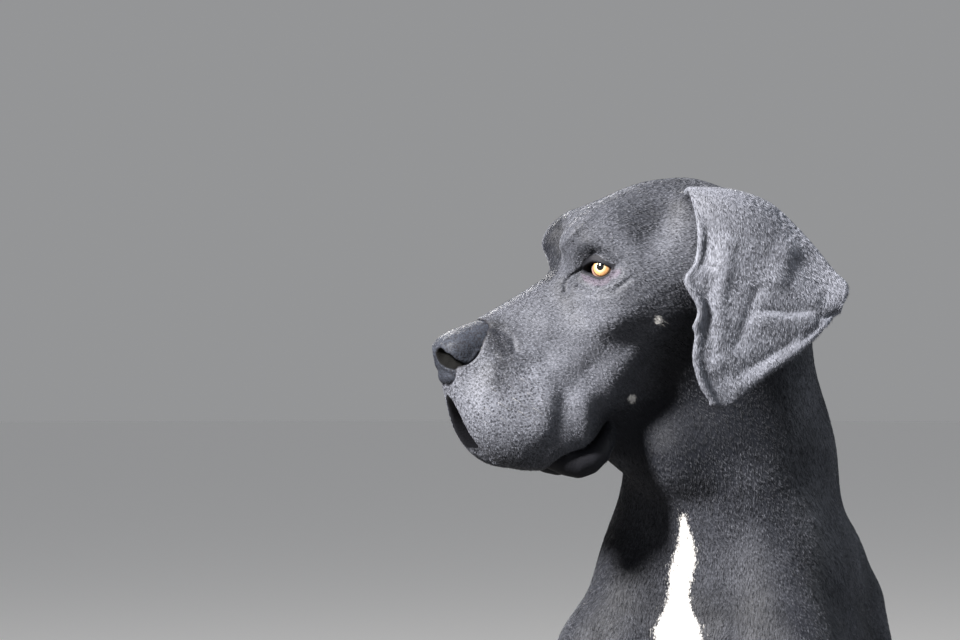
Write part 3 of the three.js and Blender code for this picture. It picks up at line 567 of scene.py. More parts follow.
# Muscles, tendons and hollows that show through the coat, in the frame of the left side
BODY_RELIEF = [
    (5, 16, [(0, 262, 640), (0, 286, 560), (0, 262, 470)]),
    (-4, 12, [(34, 258, 660), (40, 282, 600), (44, 262, 520)]),
    (-5, 13, [(70, 226, 700), (96, 226, 640), (120, 206, 560)]),
    (4, 14, [(108, 150, 600), (120, 160, 520), (116, 170, 460)]),
    (-5, 12, [(118, 110, 560), (124, 116, 500), (118, 130, 440)]),
    (-3, 9, [(116, 206, 440), (112, 214, 360), (104, 222, 290)]),
    (-2.4, 6, [(112, 214, 200), (112, 232, 150)]),
    (2.4, 7, [(84, 190, 300), (86, 196, 220), (88, 204, 150)]),
    (-5, 14, [(150, -40, 210), (164, 20, 226), (176, 60, 226)]),
    (4, 16, [(150, -110, 250), (166, -30, 290)]),
    (-3, 8, [(150, -96, 96), (150, -40, 130), (160, 20, 160)]),
    (3, 14, [(0, -196, 240), (0, -150, 380), (0, -76, 500), (0, 20, 620)]),
    (-6, 26, [(92, 294, 616), (98, 294, 586)]),
]


def paw(p, at, ahead, size):
    """A palm and four toes, the middle two the longest, each toe with its knuckle."""
    d = blob(p, (at, ahead, 30 * size), (40 * size, 50 * size, 34 * size))
    for side, reach in TOES:
        root = (at + side * 0.9 * size, ahead + (14 + reach) * size, 44 * size)
        tip = (at + side * 1.1 * size, ahead + (56 + reach) * size, 19 * size)
        toe = muscle(p, root, tip, 16 * size, 16.2 * size)
        knuckle = (at + side * size, ahead + (36 + reach) * size, 36 * size)
        toe = melt(toe, blob(p, knuckle, (12.5 * size, 14 * size, 13 * size)), 5)
        d = melt(d, toe, 3.5)
    return d


def some(d, where, change):
    """The distances d with those where a mask is true replaced by change(mask, their old values)."""
    if where.any():
        d = d.copy()
        d[where] = change(where, d[where])
    return d


def fore_leg(q):
    """The fore leg with its paw, in the frame of the left side."""
    return melt(melted(q, FORE_LEG), paw(q, *FORE_PAW), PAW_SOFT)


def hind_foot(q):
    """The hind foot with its paw, in the frame of the left side."""
    return melt(melted(q, FOOT), paw(q, *HIND_PAW), PAW_SOFT)


# Where each part can change the flesh: heights, and for the tail how far back as well
FORE_LEG_TOP, HIND_LEG_TOP = 480, 440
TAIL_TOP, TAIL_FRONT = 320, 60
NECK_BOTTOM, HEAD_BOTTOM = 480, 720

# How softly each part melts into the rest, in millimetres. The hind leg's softness falls from its
# greatest, at its back, to its least by a slope with the place ahead
PAW_SOFT, KNEE_SOFT, FOOT_SOFT = 14, 14, 16
FORE_LEG_SOFT, TAIL_SOFT, NECK_SOFT, NECK_HIGH_SOFT, HEAD_SOFT = 26, 22, 45, 40, 34
HIND_LEG_SOFT, HIND_LEG_SOFT_LEAST, HIND_LEG_SOFT_SLOPE, HIND_LEG_SOFT_AT = 24, 2, 0.28, 50


def flesh(p):
    """The whole body without the ears: trunk, legs, tail, neck and head melted into one another."""
    y, z = p[1:]
    left = to_left(p)

    def with_fore_leg(at, d):
        return melt(d, fore_leg(left[:, at]), FORE_LEG_SOFT)

    def with_hind_leg(at, d):
        q = left[:, at]
        leg = melt(melted(q, THIGH), melted(q, SHANK), KNEE_SOFT)
        soft = HIND_LEG_SOFT - (q[1] - HIND_LEG_SOFT_AT) * HIND_LEG_SOFT_SLOPE
        return melt(d, melt(leg, hind_foot(q), FOOT_SOFT), np.clip(soft, HIND_LEG_SOFT_LEAST, HIND_LEG_SOFT))

    def with_tail(at, d):
        return melt(d, rope(p[:, at], TAIL_POINTS, TAIL_RADII, 5), TAIL_SOFT)

    def with_neck(at, d):
        a, o, u = to_head(p[:, at])
        low = muscle((p[0][at], -y[at], z[at]), *NECK_LOW)
        high = muscle((o, a, u), *NECK_HIGH)
        neck = melted((a, np.abs(o), u), [THROAT, THROAT_LUMP], melt(low, high, NECK_HIGH_SOFT))
        return melt(d, neck, NECK_SOFT)

    def with_head(at, d):
        return melt(d, head_field(to_head(p[:, at])), HEAD_SOFT)

    d = melted(left, TRUNK)
    d = some(d, z < FORE_LEG_TOP, with_fore_leg)
    d = some(d, z < HIND_LEG_TOP, with_hind_leg)
    d = some(d, (z < TAIL_TOP) & (y > TAIL_FRONT), with_tail)
    d = some(d, z > NECK_BOTTOM, with_neck)
    return some(d, z > HEAD_BOTTOM, with_head)


# The skin: the flesh less the coat's depth, with the lids, folds and mouth

# Folds of the side of the head, in its side view: ahead and up
FACE_RELIEF = [
    (-2.0, 2.2, [(120, 18), (127, 12), (131, 5), (132, -2)]),
    (-1.5, 2.8, [(209, -33), (192, -38), (184, -46), (183, -56)]),
    (-3.6, 11, [(157, -66), (172, -72)]),
    (-1.3, 3, [(178, -93), (164, -101)]),
    (-1.4, 11, [(146, -84), (142, -112), (150, -134), (164, -152)]),
    (-3.2, 14, [(134, -96), (112, -72), (86, -52), (60, -38)]),
    (-1.5, 10, [(112, -74), (100, -104), (92, -128)]),
    (3.0, 10, [(124, -104), (116, -134)]),
    (2.6, 12, [(154, -100), (160, -130)]),
    (2.6, 12, [(150, -34), (120, -40), (96, -24)]),
    (2.2, 4.5, [(158, 4), (149, 14), (143, 26), (137, 43), (126, 58), (110, 71)]),
    (-1.2, 2.6, [(112, 33), (102, 29), (92, 22), (76, 14)]),
    (1.4, 4.5, [(116, 42), (104, 39), (92, 31)]),
    (-1.8, 2.6, [(123, 1), (111, -5), (97, -2), (85, 8)]),
    (-4.5, 17, [(58, 46), (30, 66)]),
    (3, 22, [(30, -54), (62, -80)]),
    (-0.5, 3, [(196, -40), (190, -62), (196, -82)]),
    (-13, 17, [(88, -150), (70, -124), (46, -110), (18, -104), (-10, -108)]),
    (-0.5, 2.4, [(204, -58), (196, -70), (200, -84)]),
]
# Furrows on the middle of the head, ahead, out and up
BROW_RELIEF = [
    (-2.4, 9, [(56, 0, 100), (100, 0, 78), (128, 0, 40), (140, 0, 22)]),
    (-1.8, 9, [(-50, 0, 84), (0, 0, 108), (56, 0, 100)]),
    (3.2, 9, [(-88, 0, 30), (-74, 0, 56)]),
]
BODY_COAT_DEPTH, FACE_COAT_DEPTH = 2.2, 0.9

# How far from the flesh's surface its folds matter, how deep the nose pad's seat lies inside it, and
# the height of the soles above the floor
RELIEF_REACH = 60
NOSE_SEAT = 1.2
SOLE_HEIGHT = 0.4


def coat_depth(u, a):
    """Millimetres from the outline of the coat to the skin, by place up and ahead in the head's
    frame: thin on the face, full on the body."""
    face = smooth(-120, -60, a) * smooth(-240, -170, u)
    return BODY_COAT_DEPTH + (FACE_COAT_DEPTH - BODY_COAT_DEPTH) * face


def skin(p):
    """The field of the skin: the flesh with its folds, less the depth of the coat, the ears, lids and
    jaw with it, and level where it stands on the floor."""
    d = flesh(p)
    d = d - relief(to_left(p), BODY_RELIEF) * (np.abs(d) < RELIEF_REACH)
    high = p[2] > HEAD_BOTTOM

    def with_face(at, d):
        q = np.stack(to_head(p[:, at]))
        side = smooth(14, 26, np.abs(q[1])) * smooth(40, 70, q[0] + 0.3 * q[2])
        d = d - relief((q[0], q[2]), FACE_RELIEF) * side - relief(q, BROW_RELIEF)
        d = d + coat_depth(q[2], q[0])
        d = with_ears(q, d)
        d = with_lids(q, d)
        jaw = jaw_field(q)
        d = carve(d, -mouth_field(q, jaw), 3.5)
        d = np.minimum(d, jaw)
        return carve(d, -NOSE_SEAT - nose_pad(q), 3.5)

    d = some(d, high, with_face)
    d = d + np.where(high, 0, BODY_COAT_DEPTH)
    return carve(d, SOLE_HEIGHT - p[2], 3)


# Meshes of fields

def near_surface(field, places, block=4, spare=4.0):
    """A field on a grid: worked out at every fourth place first, then at every place of those blocks
    that the surface may cross; the rest keep the value of their block's corner."""
    shape = [len(v) for v in places]
    coarse = [np.unique(np.r_[np.arange(0, n, block), n - 1]) for n in shape]
    grid = np.meshgrid(*[v[c] for v, c in zip(places, coarse)], indexing="ij")
    rough = field(np.stack([g.ravel() for g in grid])).reshape([len(c) for c in coarse])
    widest = [np.diff(v[c]).max() for v, c in zip(places, coarse)]
    reach = 0.5 * sum(w * w for w in widest) ** 0.5 + spare
    hit = np.abs(rough) < reach
    busy = np.zeros([n - 1 for n in rough.shape], dtype=bool)
    for corner in np.ndindex(2, 2, 2):
        busy |= hit[tuple(slice(c, c + n) for c, n in zip(corner, busy.shape))]
    owner = [np.clip(np.searchsorted(c, np.arange(n), side="right") - 1, 0, len(c) - 2)
             for c, n in zip(coarse, shape)]
    value = rough[np.ix_(*owner)].astype(np.float32)
    active = np.zeros(shape, dtype=bool)
    for step in np.ndindex(2, 2, 2):
        back = [np.clip(np.searchsorted(c, np.arange(n), side="left") - 1, 0, len(c) - 2) if s else o
                for c, n, s, o in zip(coarse, shape, step, owner)]
        active |= busy[np.ix_(*back)]
    at = np.nonzero(active)
    value[at] = field(np.stack([v[i] for v, i in zip(places, at)]))
    return value


def surface_net(value, places):
    """The surface of a field on a grid: a vertex in each cell that it crosses, at the mean of the
    crossings on the cell's edges, and a square round each crossed edge."""
    cells = np.array(value.shape) - 1
    stride = np.array([cells[1] * cells[2], cells[2], 1])
    owners, crossings, squares = [], [], []
    for axis in range(3):
        near = value[tuple(slice(0, -1) if k == axis else slice(None) for k in range(3))]
        far = value[tuple(slice(1, None) if k == axis else slice(None) for k in range(3))]
        at = np.argwhere((near < 0) != (far < 0))
        v, w = near[tuple(at.T)], far[tuple(at.T)]
        point = np.stack([places[k][at[:, k]] for k in range(3)], axis=1)
        point[:, axis] += v / (v - w) * (places[axis][at[:, axis] + 1] - point[:, axis])
        around = []
        for m, n in ((0, 0), (1, 0), (1, 1), (0, 1)):
            cell = at.copy()
            cell[:, (axis + 1) % 3] -= m
            cell[:, (axis + 2) % 3] -= n
            inside = np.all((cell >= 0) & (cell < cells), axis=1)
            around.append(np.where(inside, cell @ stride, -1))
            owners.append(around[-1][inside])
            crossings.append(point[inside])
        around = np.stack(around, axis=1)
        around[v >= 0] = around[v >= 0, ::-1]
        squares.append(around[(around >= 0).all(axis=1)])
    owners, crossings, squares = (np.concatenate(v) for v in (owners, crossings, squares))
    cell, inverse, count = np.unique(owners, return_inverse=True, return_counts=True)
    points = np.stack([np.bincount(inverse, crossings[:, k]) / count for k in range(3)])
    return points, np.searchsorted(cell, squares)


def slope_of(field, points, step):
    """A field's value and slope: four samples on the corners of a small tetrahedron, whose mean is
    the value and whose differences are the slope."""
    corners = np.array([(1, 1, 1), (1, -1, -1), (-1, 1, -1), (-1, -1, 1)], dtype=float)
    value, slope = 0, 0
    for corner in corners:
        v = field(points + corner[:, None] * step)
        value = value + v / 4
        slope = slope + v[None, :] * corner[:, None] / (4 * step)
    return value, slope


def settle(field, points, faces, reach, rounds=2, step=0.4):
    """Evens the mesh out and lays it on the surface: each round moves a vertex half way to the mean
    of its neighbours, along the surface only, then slides it down the field's slope to the surface,
    by no more than reach."""
    edges = np.concatenate([faces[:, [k, (k + 1) % 4]] for k in range(4)])
    count = np.bincount(edges.ravel(), minlength=points.shape[1])
    for turn in range(rounds + 1):
        value, slope = slope_of(field, points, step)
        size = np.maximum((slope * slope).sum(0), 0.05)
        slide = np.clip(-value / size ** 0.5, -reach, reach) / size ** 0.5
        points = points + slope * slide
        if turn == rounds:
            break
        mean = np.stack([
            np.bincount(edges[:, 0], points[k][edges[:, 1]], points.shape[1])
            + np.bincount(edges[:, 1], points[k][edges[:, 0]], points.shape[1]) for k in range(3)]) / count
        pull = (mean - points) * 0.5
        normal = slope / size ** 0.5
        points = points + pull - normal * (normal * pull).sum(0)
    return points


def rim_of(faces):
    """The vertices on the open edge of a mesh of squares: those of edges that only one face has."""
    edges = np.sort(np.concatenate([faces[:, [k, (k + 1) % 4]] for k in range(4)]), axis=1)
    edges, count = np.unique(edges, axis=0, return_counts=True)
    return np.unique(edges[count == 1])


def zip_rings(points, upper, lower, centre):
    """Triangles between two rings of vertices round an upright line. All are put in order of their
    angle, and each makes a triangle with the one before it on its own ring and on the other."""
    ids = np.concatenate([upper, lower])
    is_low = np.repeat([False, True], [len(upper), len(lower)])
    angle = np.arctan2(points[1][ids] - centre[1], points[0][ids] - centre[0])
    order = np.argsort(angle)
    ids, is_low = np.tile(ids[order], 2), np.tile(is_low[order], 2)
    place = np.arange(len(ids))
    last_up = np.maximum.accumulate(np.where(is_low, -1, place))
    last_low = np.maximum.accumulate(np.where(is_low, place, -1))
    now = place[len(order):]
    up, low = ids[last_up[now - 1]], ids[last_low[now - 1]]
    new = ids[now]
    triangles = np.where(is_low[now][:, None], np.stack([low, new, up], 1), np.stack([new, up, low], 1))
    return triangles[:, [0, 1, 2, 2]]


def spread(low, high, cell, fine=(), fine_cell=None):
    """Places from low to high about cell apart, and fine_cell apart within the fine stretches."""
    stops, steps = [low], []
    for start, end in fine:
        stops += [start, end]
        steps += [cell, fine_cell]
    stops.append(high)
    steps.append(cell)
    parts = [np.linspace(a, b, max(round((b - a) / step), 1), endpoint=False)
             for a, b, step in zip(stops[:-1], stops[1:], steps)]
    return np.append(np.concatenate(parts), high)


# The plane above which the head's finer mesh begins, and how far the skin's grids reach
NECK_CUT = 760.0
BODY_REACH = ((-226, 268), (-396, 482), (-6, NECK_CUT))
HEAD_REACH = ((-168, 262), (-168, 134), (NECK_CUT - HEAD_AT[2], 114))


def skin_net(body_cell, head_cell, eye_cell):
    """The skin as vertices and squares: the body's net below the cut, the head's finer one above it
    in the head's frame, and a strip between their rings."""
    body_places = [spread(*BODY_REACH[0], body_cell), spread(*BODY_REACH[1], body_cell),
                   spread(*BODY_REACH[2], body_cell, ((0, 112),), body_cell * 0.75)]
    body, body_faces = surface_net(near_surface(skin, body_places), body_places)
    body = settle(skin, body, body_faces, body_cell * 0.4)

    def on_head(q):
        return skin(np.stack(from_head(q)))

    a, o, u = EYE_AT
    head_places = [
        spread(*HEAD_REACH[0], head_cell, ((a - 18, a + 26),), eye_cell),
        spread(*HEAD_REACH[1], head_cell, ((-o - 18, 14 - o), (o - 14, o + 18)), eye_cell),
        spread(*HEAD_REACH[2], head_cell, ((u - 17, u + 17),), eye_cell)]
    head, head_faces = surface_net(near_surface(on_head, head_places), head_places)
    head = settle(on_head, head, head_faces, eye_cell * 0.5)
    points = np.concatenate([body, np.stack(from_head(head))], axis=1)
    head_faces = head_faces + body.shape[1]
    centre = points[:2, rim_of(head_faces)].mean(axis=1)
    strip = zip_rings(points, rim_of(head_faces), rim_of(body_faces), centre)
    return points, np.concatenate([body_faces, head_faces]), strip[:, :3]


def shift():
    """The move from the dog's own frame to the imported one, in millimetres, read from the eye's box."""
    low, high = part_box("eye_left")
    middle = np.array((low + high) / 2) / MM
    return middle - np.array(from_head(EYE_AT))


def new_object(name, points, faces, smooth_faces=True):
    """A mesh object from places in the dog's frame, in millimetres, and its faces."""
    mesh = bpy.data.meshes.new(name)
    places = (points.T + shift()) * MM
    if isinstance(faces, np.ndarray):
        faces = [faces]
    count = sum(len(f) for f in faces)
    corners = np.concatenate([f.ravel() for f in faces])
    totals = np.concatenate([np.full(len(f), f.shape[1]) for f in faces])
    mesh.vertices.add(len(places))
    mesh.vertices.foreach_set("co", places.ravel())
    mesh.loops.add(len(corners))
    mesh.loops.foreach_set("vertex_index", corners.astype(np.int32))
    mesh.polygons.add(count)
    mesh.polygons.foreach_set("loop_start", np.r_[0, np.cumsum(totals)[:-1]].astype(np.int32))
    mesh.polygons.foreach_set("use_smooth", np.full(count, smooth_faces))
    mesh.update(calc_edges=True)
    obj = bpy.data.objects.new(name, mesh)
    bpy.context.scene.collection.objects.link(obj)
    return obj


def read_points(obj):
    """A mesh object's vertices in the dog's frame, in millimetres."""
    places = np.empty(len(obj.data.vertices) * 3)
    obj.data.vertices.foreach_get("co", places)
    return (places.reshape(-1, 3) / MM - shift()).T


# Looks

def node(tree, kind, inputs=None, **settings):
    """Adds a shader node. Each input is a value, or another node's output to link from."""
    made = tree.nodes.new(kind)
    for key, value in settings.items():
        setattr(made, key, value)
    for key, value in (inputs or {}).items():
        if isinstance(value, bpy.types.NodeSocket):
            tree.links.new(value, made.inputs[key])
        else:
            made.inputs[key].default_value = value
    return made


def new_material(name, **sockets):
    """A material with one principled shader, whose plain sockets are set by name."""
    material = bpy.data.materials.new(name)
    material.use_nodes = True
    shader = material.node_tree.nodes["Principled BSDF"]
    for key, value in sockets.items():
        shader.inputs[key.replace("_", " ")].default_value = value
    return material, material.node_tree, shader


def noise(tree, vector, scale, detail=3.0, roughness=0.5):
    """A noise between 0 and 1 at so many cells a metre, or a unit of the vector."""
    inputs = {"Vector": vector, "Scale": scale, "Detail": detail, "Roughness": roughness}
    return node(tree, "ShaderNodeTexNoise", inputs).outputs["Fac"]


def rgba(colour):
    """A colour of three numbers with its fourth. Another node's output stays as it is."""
    return colour if isinstance(colour, bpy.types.NodeSocket) else (*colour, 1)


def mixed(tree, factor, a, b):
    """Colour a where the factor is 0 and colour b where it is 1."""
    inputs = {0: factor, 6: rgba(a), 7: rgba(b)}
    return node(tree, "ShaderNodeMix", inputs, data_type="RGBA").outputs[2]


def ranged(tree, value, low, high, to_low=0.0, to_high=1.0):
    """A value moved from one range to another, and kept inside it."""
    inputs = {"Value": value, 1: low, 2: high, 3: to_low, 4: to_high}
    return node(tree, "ShaderNodeMapRange", inputs).outputs[0]


def summed(tree, a, b, share=1.0):
    """a plus b times a share."""
    return node(tree, "ShaderNodeMath", {0: b, 1: share, 2: a}, operation="MULTIPLY_ADD").outputs[0]


def product(tree, a, b):
    """a times b."""
    return node(tree, "ShaderNodeMath", {0: a, 1: b}, operation="MULTIPLY").outputs[0]


def place_on(tree):
    """The place on the object, in metres."""
    return node(tree, "ShaderNodeTexCoord").outputs["Object"]


def carried(tree, name, output="Fac"):
    """What the mesh carries under a name."""
    return node(tree, "ShaderNodeAttribute", attribute_name=name).outputs[output]


def feed(tree, shader, **sockets):
    """Links other nodes' outputs to the shader's sockets, by name."""
    for key, value in sockets.items():
        tree.links.new(value, shader.inputs[key.replace("_", " ")])


def bumped(tree, shader, height, distance, strength=1.0):
    """Gives the shader a bump of a height in metres."""
    inputs = {"Height": height, "Distance": distance, "Strength": strength}
    tree.links.new(node(tree, "ShaderNodeBump", inputs).outputs[0], shader.inputs["Normal"])


# Hairs in a metre across and along their lie, and dark dots in a metre of the muzzle
HAIRS_ACROSS, HAIRS_ALONG = 1250.0, 200.0
DOTS = 320.0

# The dark of the pupils, and of the depth of the nostrils: their dark skin with painted shade on it
PUPIL_BLACK = (0.002, 0.002, 0.002)
NOSTRIL_DARK_AND_SHADE = (0.001, 0.001, 0.001)


def streaks(tree, place, turn, long_axis):
    """Fine hair: a noise drawn out along one axis of the place turned about the upright."""
    size = [1 / HAIRS_ACROSS] * 3
    size[long_axis] = 1 / HAIRS_ALONG
    inputs = {"Vector": place, "Rotation": (0, 0, turn), "Scale": size}
    drawn = node(tree, "ShaderNodeMapping", inputs, vector_type="TEXTURE").outputs[0]
    return noise(tree, drawn, 1.0, 3, 0.6)


def coat_material(name, looks, hair):
    """The blue coat: slate that varies broadly over the body and finely from hair to hair, grainier
    and with dark dots on the muzzle, with the white, bare and lid-coloured marks that the mesh
    carries. The skin's own has the hairs as a fine bump and as dark gaps, which run along the head
    there and down the rest of the body."""
    material, tree, shader = new_material(
        name, Specular_IOR_Level=0.13 if hair else 0.06, Sheen_Weight=0.03 if hair else 0.0,
        Sheen_Roughness=0.3, Sheen_Tint=(0.8, 0.87, 1.0, 1.0))
    place = place_on(tree)
    marks = node(tree, "ShaderNodeAttribute", attribute_name="marks")
    speckle = marks.outputs["Alpha"]
    marks = node(tree, "ShaderNodeSeparateColor", {0: marks.outputs["Color"]})
    white, bare, lid = marks.outputs
    # The tone that the mesh carries holds painted shade and painted light as well as the coat's own lightness
    tone = carried(tree, "tone")
    broad = noise(tree, place, 16, 2)
    fine = ranged(tree, noise(tree, place, 520, 4, 0.6), 0.3, 0.7)
    grain = product(tree, fine, speckle)
    level = summed(tree, summed(tree, tone, broad, 0.5), summed(tree, fine, grain, 0.8), 0.32)
    colour = mixed(tree, ranged(tree, level, 0.35, 1.5), looks.coat_dark, looks.coat_light)
    dots = node(tree, "ShaderNodeTexVoronoi", {"Vector": place, "Scale": DOTS, "Randomness": 1.0})
    dots = ranged(tree, dots.outputs["Distance"], 0.18, 0.42, 0.8, 0.0)
    colour = mixed(tree, product(tree, dots, speckle), colour, looks.coat_dark)
    pale = ranged(tree, summed(tree, white, fine, 0.35), 0.45, 0.75)
    colour = mixed(tree, pale, colour, looks.blaze)
    colour = mixed(tree, lid, colour, looks.lid)
    # The bare share is bare skin, and above the eyes painted shade as well
    bare_and_lid_shade = ranged(tree, summed(tree, bare, fine, 0.3), 0.4, 0.8)
    colour = mixed(tree, bare_and_lid_shade, colour, looks.leather)
    feed(tree, shader, Roughness=ranged(tree, bare, 0, 1, 0.58 if hair else 0.5, 0.62))
    if not hair:
        on_head = streaks(tree, place, math.atan2(-math.cos(TURN), -math.sin(TURN)), 0)
        on_body = streaks(tree, place, 0.0, 2)
        inputs = {0: carried(tree, "head"), 2: on_body, 3: on_head}
        hairs = node(tree, "ShaderNodeMix", inputs, data_type="FLOAT").outputs[0]
        colour = mixed(tree, ranged(tree, hairs, 0.2, 0.6), looks.coat_dark, colour)
        bumped(tree, shader, summed(tree, hairs, fine, 0.3), 0.0005, 0.7)
    feed(tree, shader, Base_Color=colour)
    return material


def leather_material(looks):
    """Bare blue-grey nose leather: small rounded pebbles with lines between them, a dull sheen that
    changes from place to place, and black in the nostrils: their dark skin with painted shade on it."""
    material, tree, shader = new_material("nose_leather", Specular_IOR_Level=0.07)
    place = place_on(tree)
    wander = noise(tree, place, 260, 2)
    pebbles = node(tree, "ShaderNodeTexVoronoi", {"Vector": place, "Scale": 800, "Randomness": 0.9},
                   feature="SMOOTH_F1").outputs["Distance"]
    colour = mixed(tree, ranged(tree, pebbles, 0.1, 0.7), looks.nose, looks.leather)
    colour = mixed(tree, ranged(tree, wander, 0.55, 0.75), colour, looks.leather)
    # deep is the depth of the nostrils, coloured near black: their dark skin and painted shade
    deep = carried(tree, "deep")
    colour = mixed(tree, deep, colour, NOSTRIL_DARK_AND_SHADE)
    feed(tree, shader, Base_Color=colour,
         Roughness=ranged(tree, summed(tree, wander, deep), 0.3, 0.9, 0.48, 0.95))
    height = node(tree, "ShaderNodeMath", {0: 1.0, 1: pebbles}, operation="SUBTRACT").outputs[0]
    bumped(tree, shader, height, 0.0004, 0.8)
    return material


def claw_material(looks):
    """Dark horn, a little paler and rougher in fine rings."""
    material, tree, shader = new_material("claw_horn")
    inputs = {"Vector": place_on(tree), "Scale": (120, 700, 300)}
    stretch = node(tree, "ShaderNodeMapping", inputs).outputs[0]
    grain = noise(tree, stretch, 1.0, 4, 0.6)
    feed(tree, shader, Base_Color=mixed(tree, ranged(tree, grain, 0.35, 0.7), looks.leather, looks.claw),
         Roughness=ranged(tree, grain, 0.3, 0.7, 0.28, 0.5))
    bumped(tree, shader, grain, 0.0002)
    return material


def eye_material(eyes):
    """The eyeball: black pupil, an iris with a pale ring round the pupil, fibres that run outwards
    and a dark rim, and a brownish white beyond it, all under a wet gloss."""
    material, tree, shader = new_material(
        "amber_eye", Roughness=0.12, Coat_Weight=1.0, Coat_Roughness=0.02, IOR=1.38)
    ring = carried(tree, "ring")
    threads = noise(tree, carried(tree, "fibre", "Vector"), 9, 5, 0.65)
    colour = mixed(tree, ranged(tree, threads, 0.36, 0.66), eyes.iris_dark, eyes.iris_light)
    inner = ranged(tree, summed(tree, ring, threads, 0.12), 0.48, 0.74, 1.0, 0.0)
    colour = mixed(tree, inner, colour, eyes.iris_centre)
    colour = mixed(tree, ranged(tree, ring, 0.86, 1.0), colour, eyes.rim)
    colour = mixed(tree, ranged(tree, ring, 1.02, 1.16), colour, eyes.white)
    colour = mixed(tree, ranged(tree, ring, 0.4, 0.45, 1.0, 0.0), colour, PUPIL_BLACK)
    feed(tree, shader, Base_Color=colour)
    return material


def give(obj, material, slot, *nodes):
    """Gives a piece its material, lets it ride with the dog and hides the nodes that it stands for. The
    finish's name, slot, is not used.
    """
    obj.data.materials.append(material)
    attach(obj, "root")
    if nodes:
        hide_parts(*nodes)


def set_attribute(mesh, name, values, kind="FLOAT"):
    """Stores a value, vector or colour on every vertex of a mesh."""
    layer = mesh.attributes.new(name, kind, "POINT")
    key = {"FLOAT": "value", "FLOAT_VECTOR": "vector", "FLOAT_COLOR": "color"}[kind]
    layer.data.foreach_set(key, np.ascontiguousarray(values, dtype=np.float32).ravel())


# Marks of the coat, by place

# The white blaze of the chest: its middle, and half its width by height
BLAZE_AT = -9
BLAZE_WIDTH = curve([(524, 0), (546, 5), (574, 12), (598, 17), (614, 21), (627, 22), (638, 15), (650, 10),
                     (670, 8.5), (700, 8.5), (716, 5), (738, 0)])

# The pale spots of the left cheek, ahead, up and how wide, and how white they are
CHEEK_SPOTS = ((56, -28.5, 6.5), (69, -102, 7))
SPOT_WHITE = 0.7

# Heights: those over which the coat's lie passes from the body's to the head's, those over which the
# trunk's coat grows finer, and the lowest of the face's coat
HEAD_COAT = (740, 820)
UPPER_TRUNK = (520, 640)
FACE_BOTTOM = 770

# Painted shade on the head, in its side view, each with its strength, width and line: darker coat in
# its creases, round the eye, in front of the ear and under the jaw. A strength with a minus paints
# light instead, a paler place
PAINTED_SHADING_LINES = [
    (1.5, 13, [(200, -40), (192, -62), (200, -84)]),
    (0.5, 9, [(120, 14), (132, 2), (130, -14)]),
    (0.6, 8, [(118, 38), (106, 36), (96, 30)]),
    (0.4, 9, [(158, -64), (172, -70)]),
    (-0.7, 42, [(186, -112), (150, -70), (130, -120)]),
    (-0.35, 26, [(90, 62), (50, 60)]),
    (0.5, 22, [(36, -10), (30, -70)]),
    (0.4, 16, [(126, 62), (120, 48)]),
    (1.8, 25, [(88, -132), (56, -130), (10, -126), (-50, -116)]),
    (0.8, 26, [(76, 74), (20, 84), (-30, 74)]),
]


def blaze_share(p):
    """The white of the chest: within half the blaze's width of a line that sways, with a wavy edge."""
    x, y, z = p
    half = BLAZE_WIDTH(z)
    wave = 2.2 * np.sin(z * 0.13) + 2.4 * np.sin(z * 0.31 + x * 0.5)
    sway = BLAZE_AT + 3 * np.sin(z * 0.055)
    chest = (-y > 200) & (np.abs(x) < 60) & (z > 540) & (z < HEAD_COAT[0])
    return smooth(-8, 7, half + wave * half / 24 - np.abs(x - sway)) * chest


def lid_shares(q):
    """The bare rim of the lids, widened above the eye, most towards the nose, into painted shade on
    the upper lid, and the thinly haired skin below the eye.
    """
    across, up, out = eye_frame(q)
    at_eye = (across ** 2 + up ** 2 + out ** 2 < 24 ** 2) & (out > -6)
    # Above the eye the dark rim is widened by painted shade
    rim_and_shade_width = 1.4 + smooth(-1, 3, up) * (1.6 + 2.6 * smooth(-6, 4, across))
    rim = (1 - smooth(rim_and_shade_width, rim_and_shade_width + 1.6, lid_gap(across, up))) * at_eye
    under = LID_LOW(across) - up
    return rim, smooth(0.5, 3, under) * (1 - smooth(7, 12, under)) * at_eye * (1 - rim) * 0.75


def lip_share(q):
    """The bare edges of the lips: what lies close to the mouth's room, apart from the hairy chin, and
    the fold at each corner of the mouth."""
    fold = lip_fold(q)
    hairy = smooth(-146, -152, q[2]) * smooth(2, 5, fold) * (np.abs(q[1]) < 30)
    edge = (1 - smooth(0.8, 3.2, mouth_field(q, jaw_field(q)))) * smooth(88, 98, q[0]) * (1 - hairy)
    return np.maximum(edge, (1 - smooth(0.5, 2.5, fold)) * smooth(90, 97, q[0]))


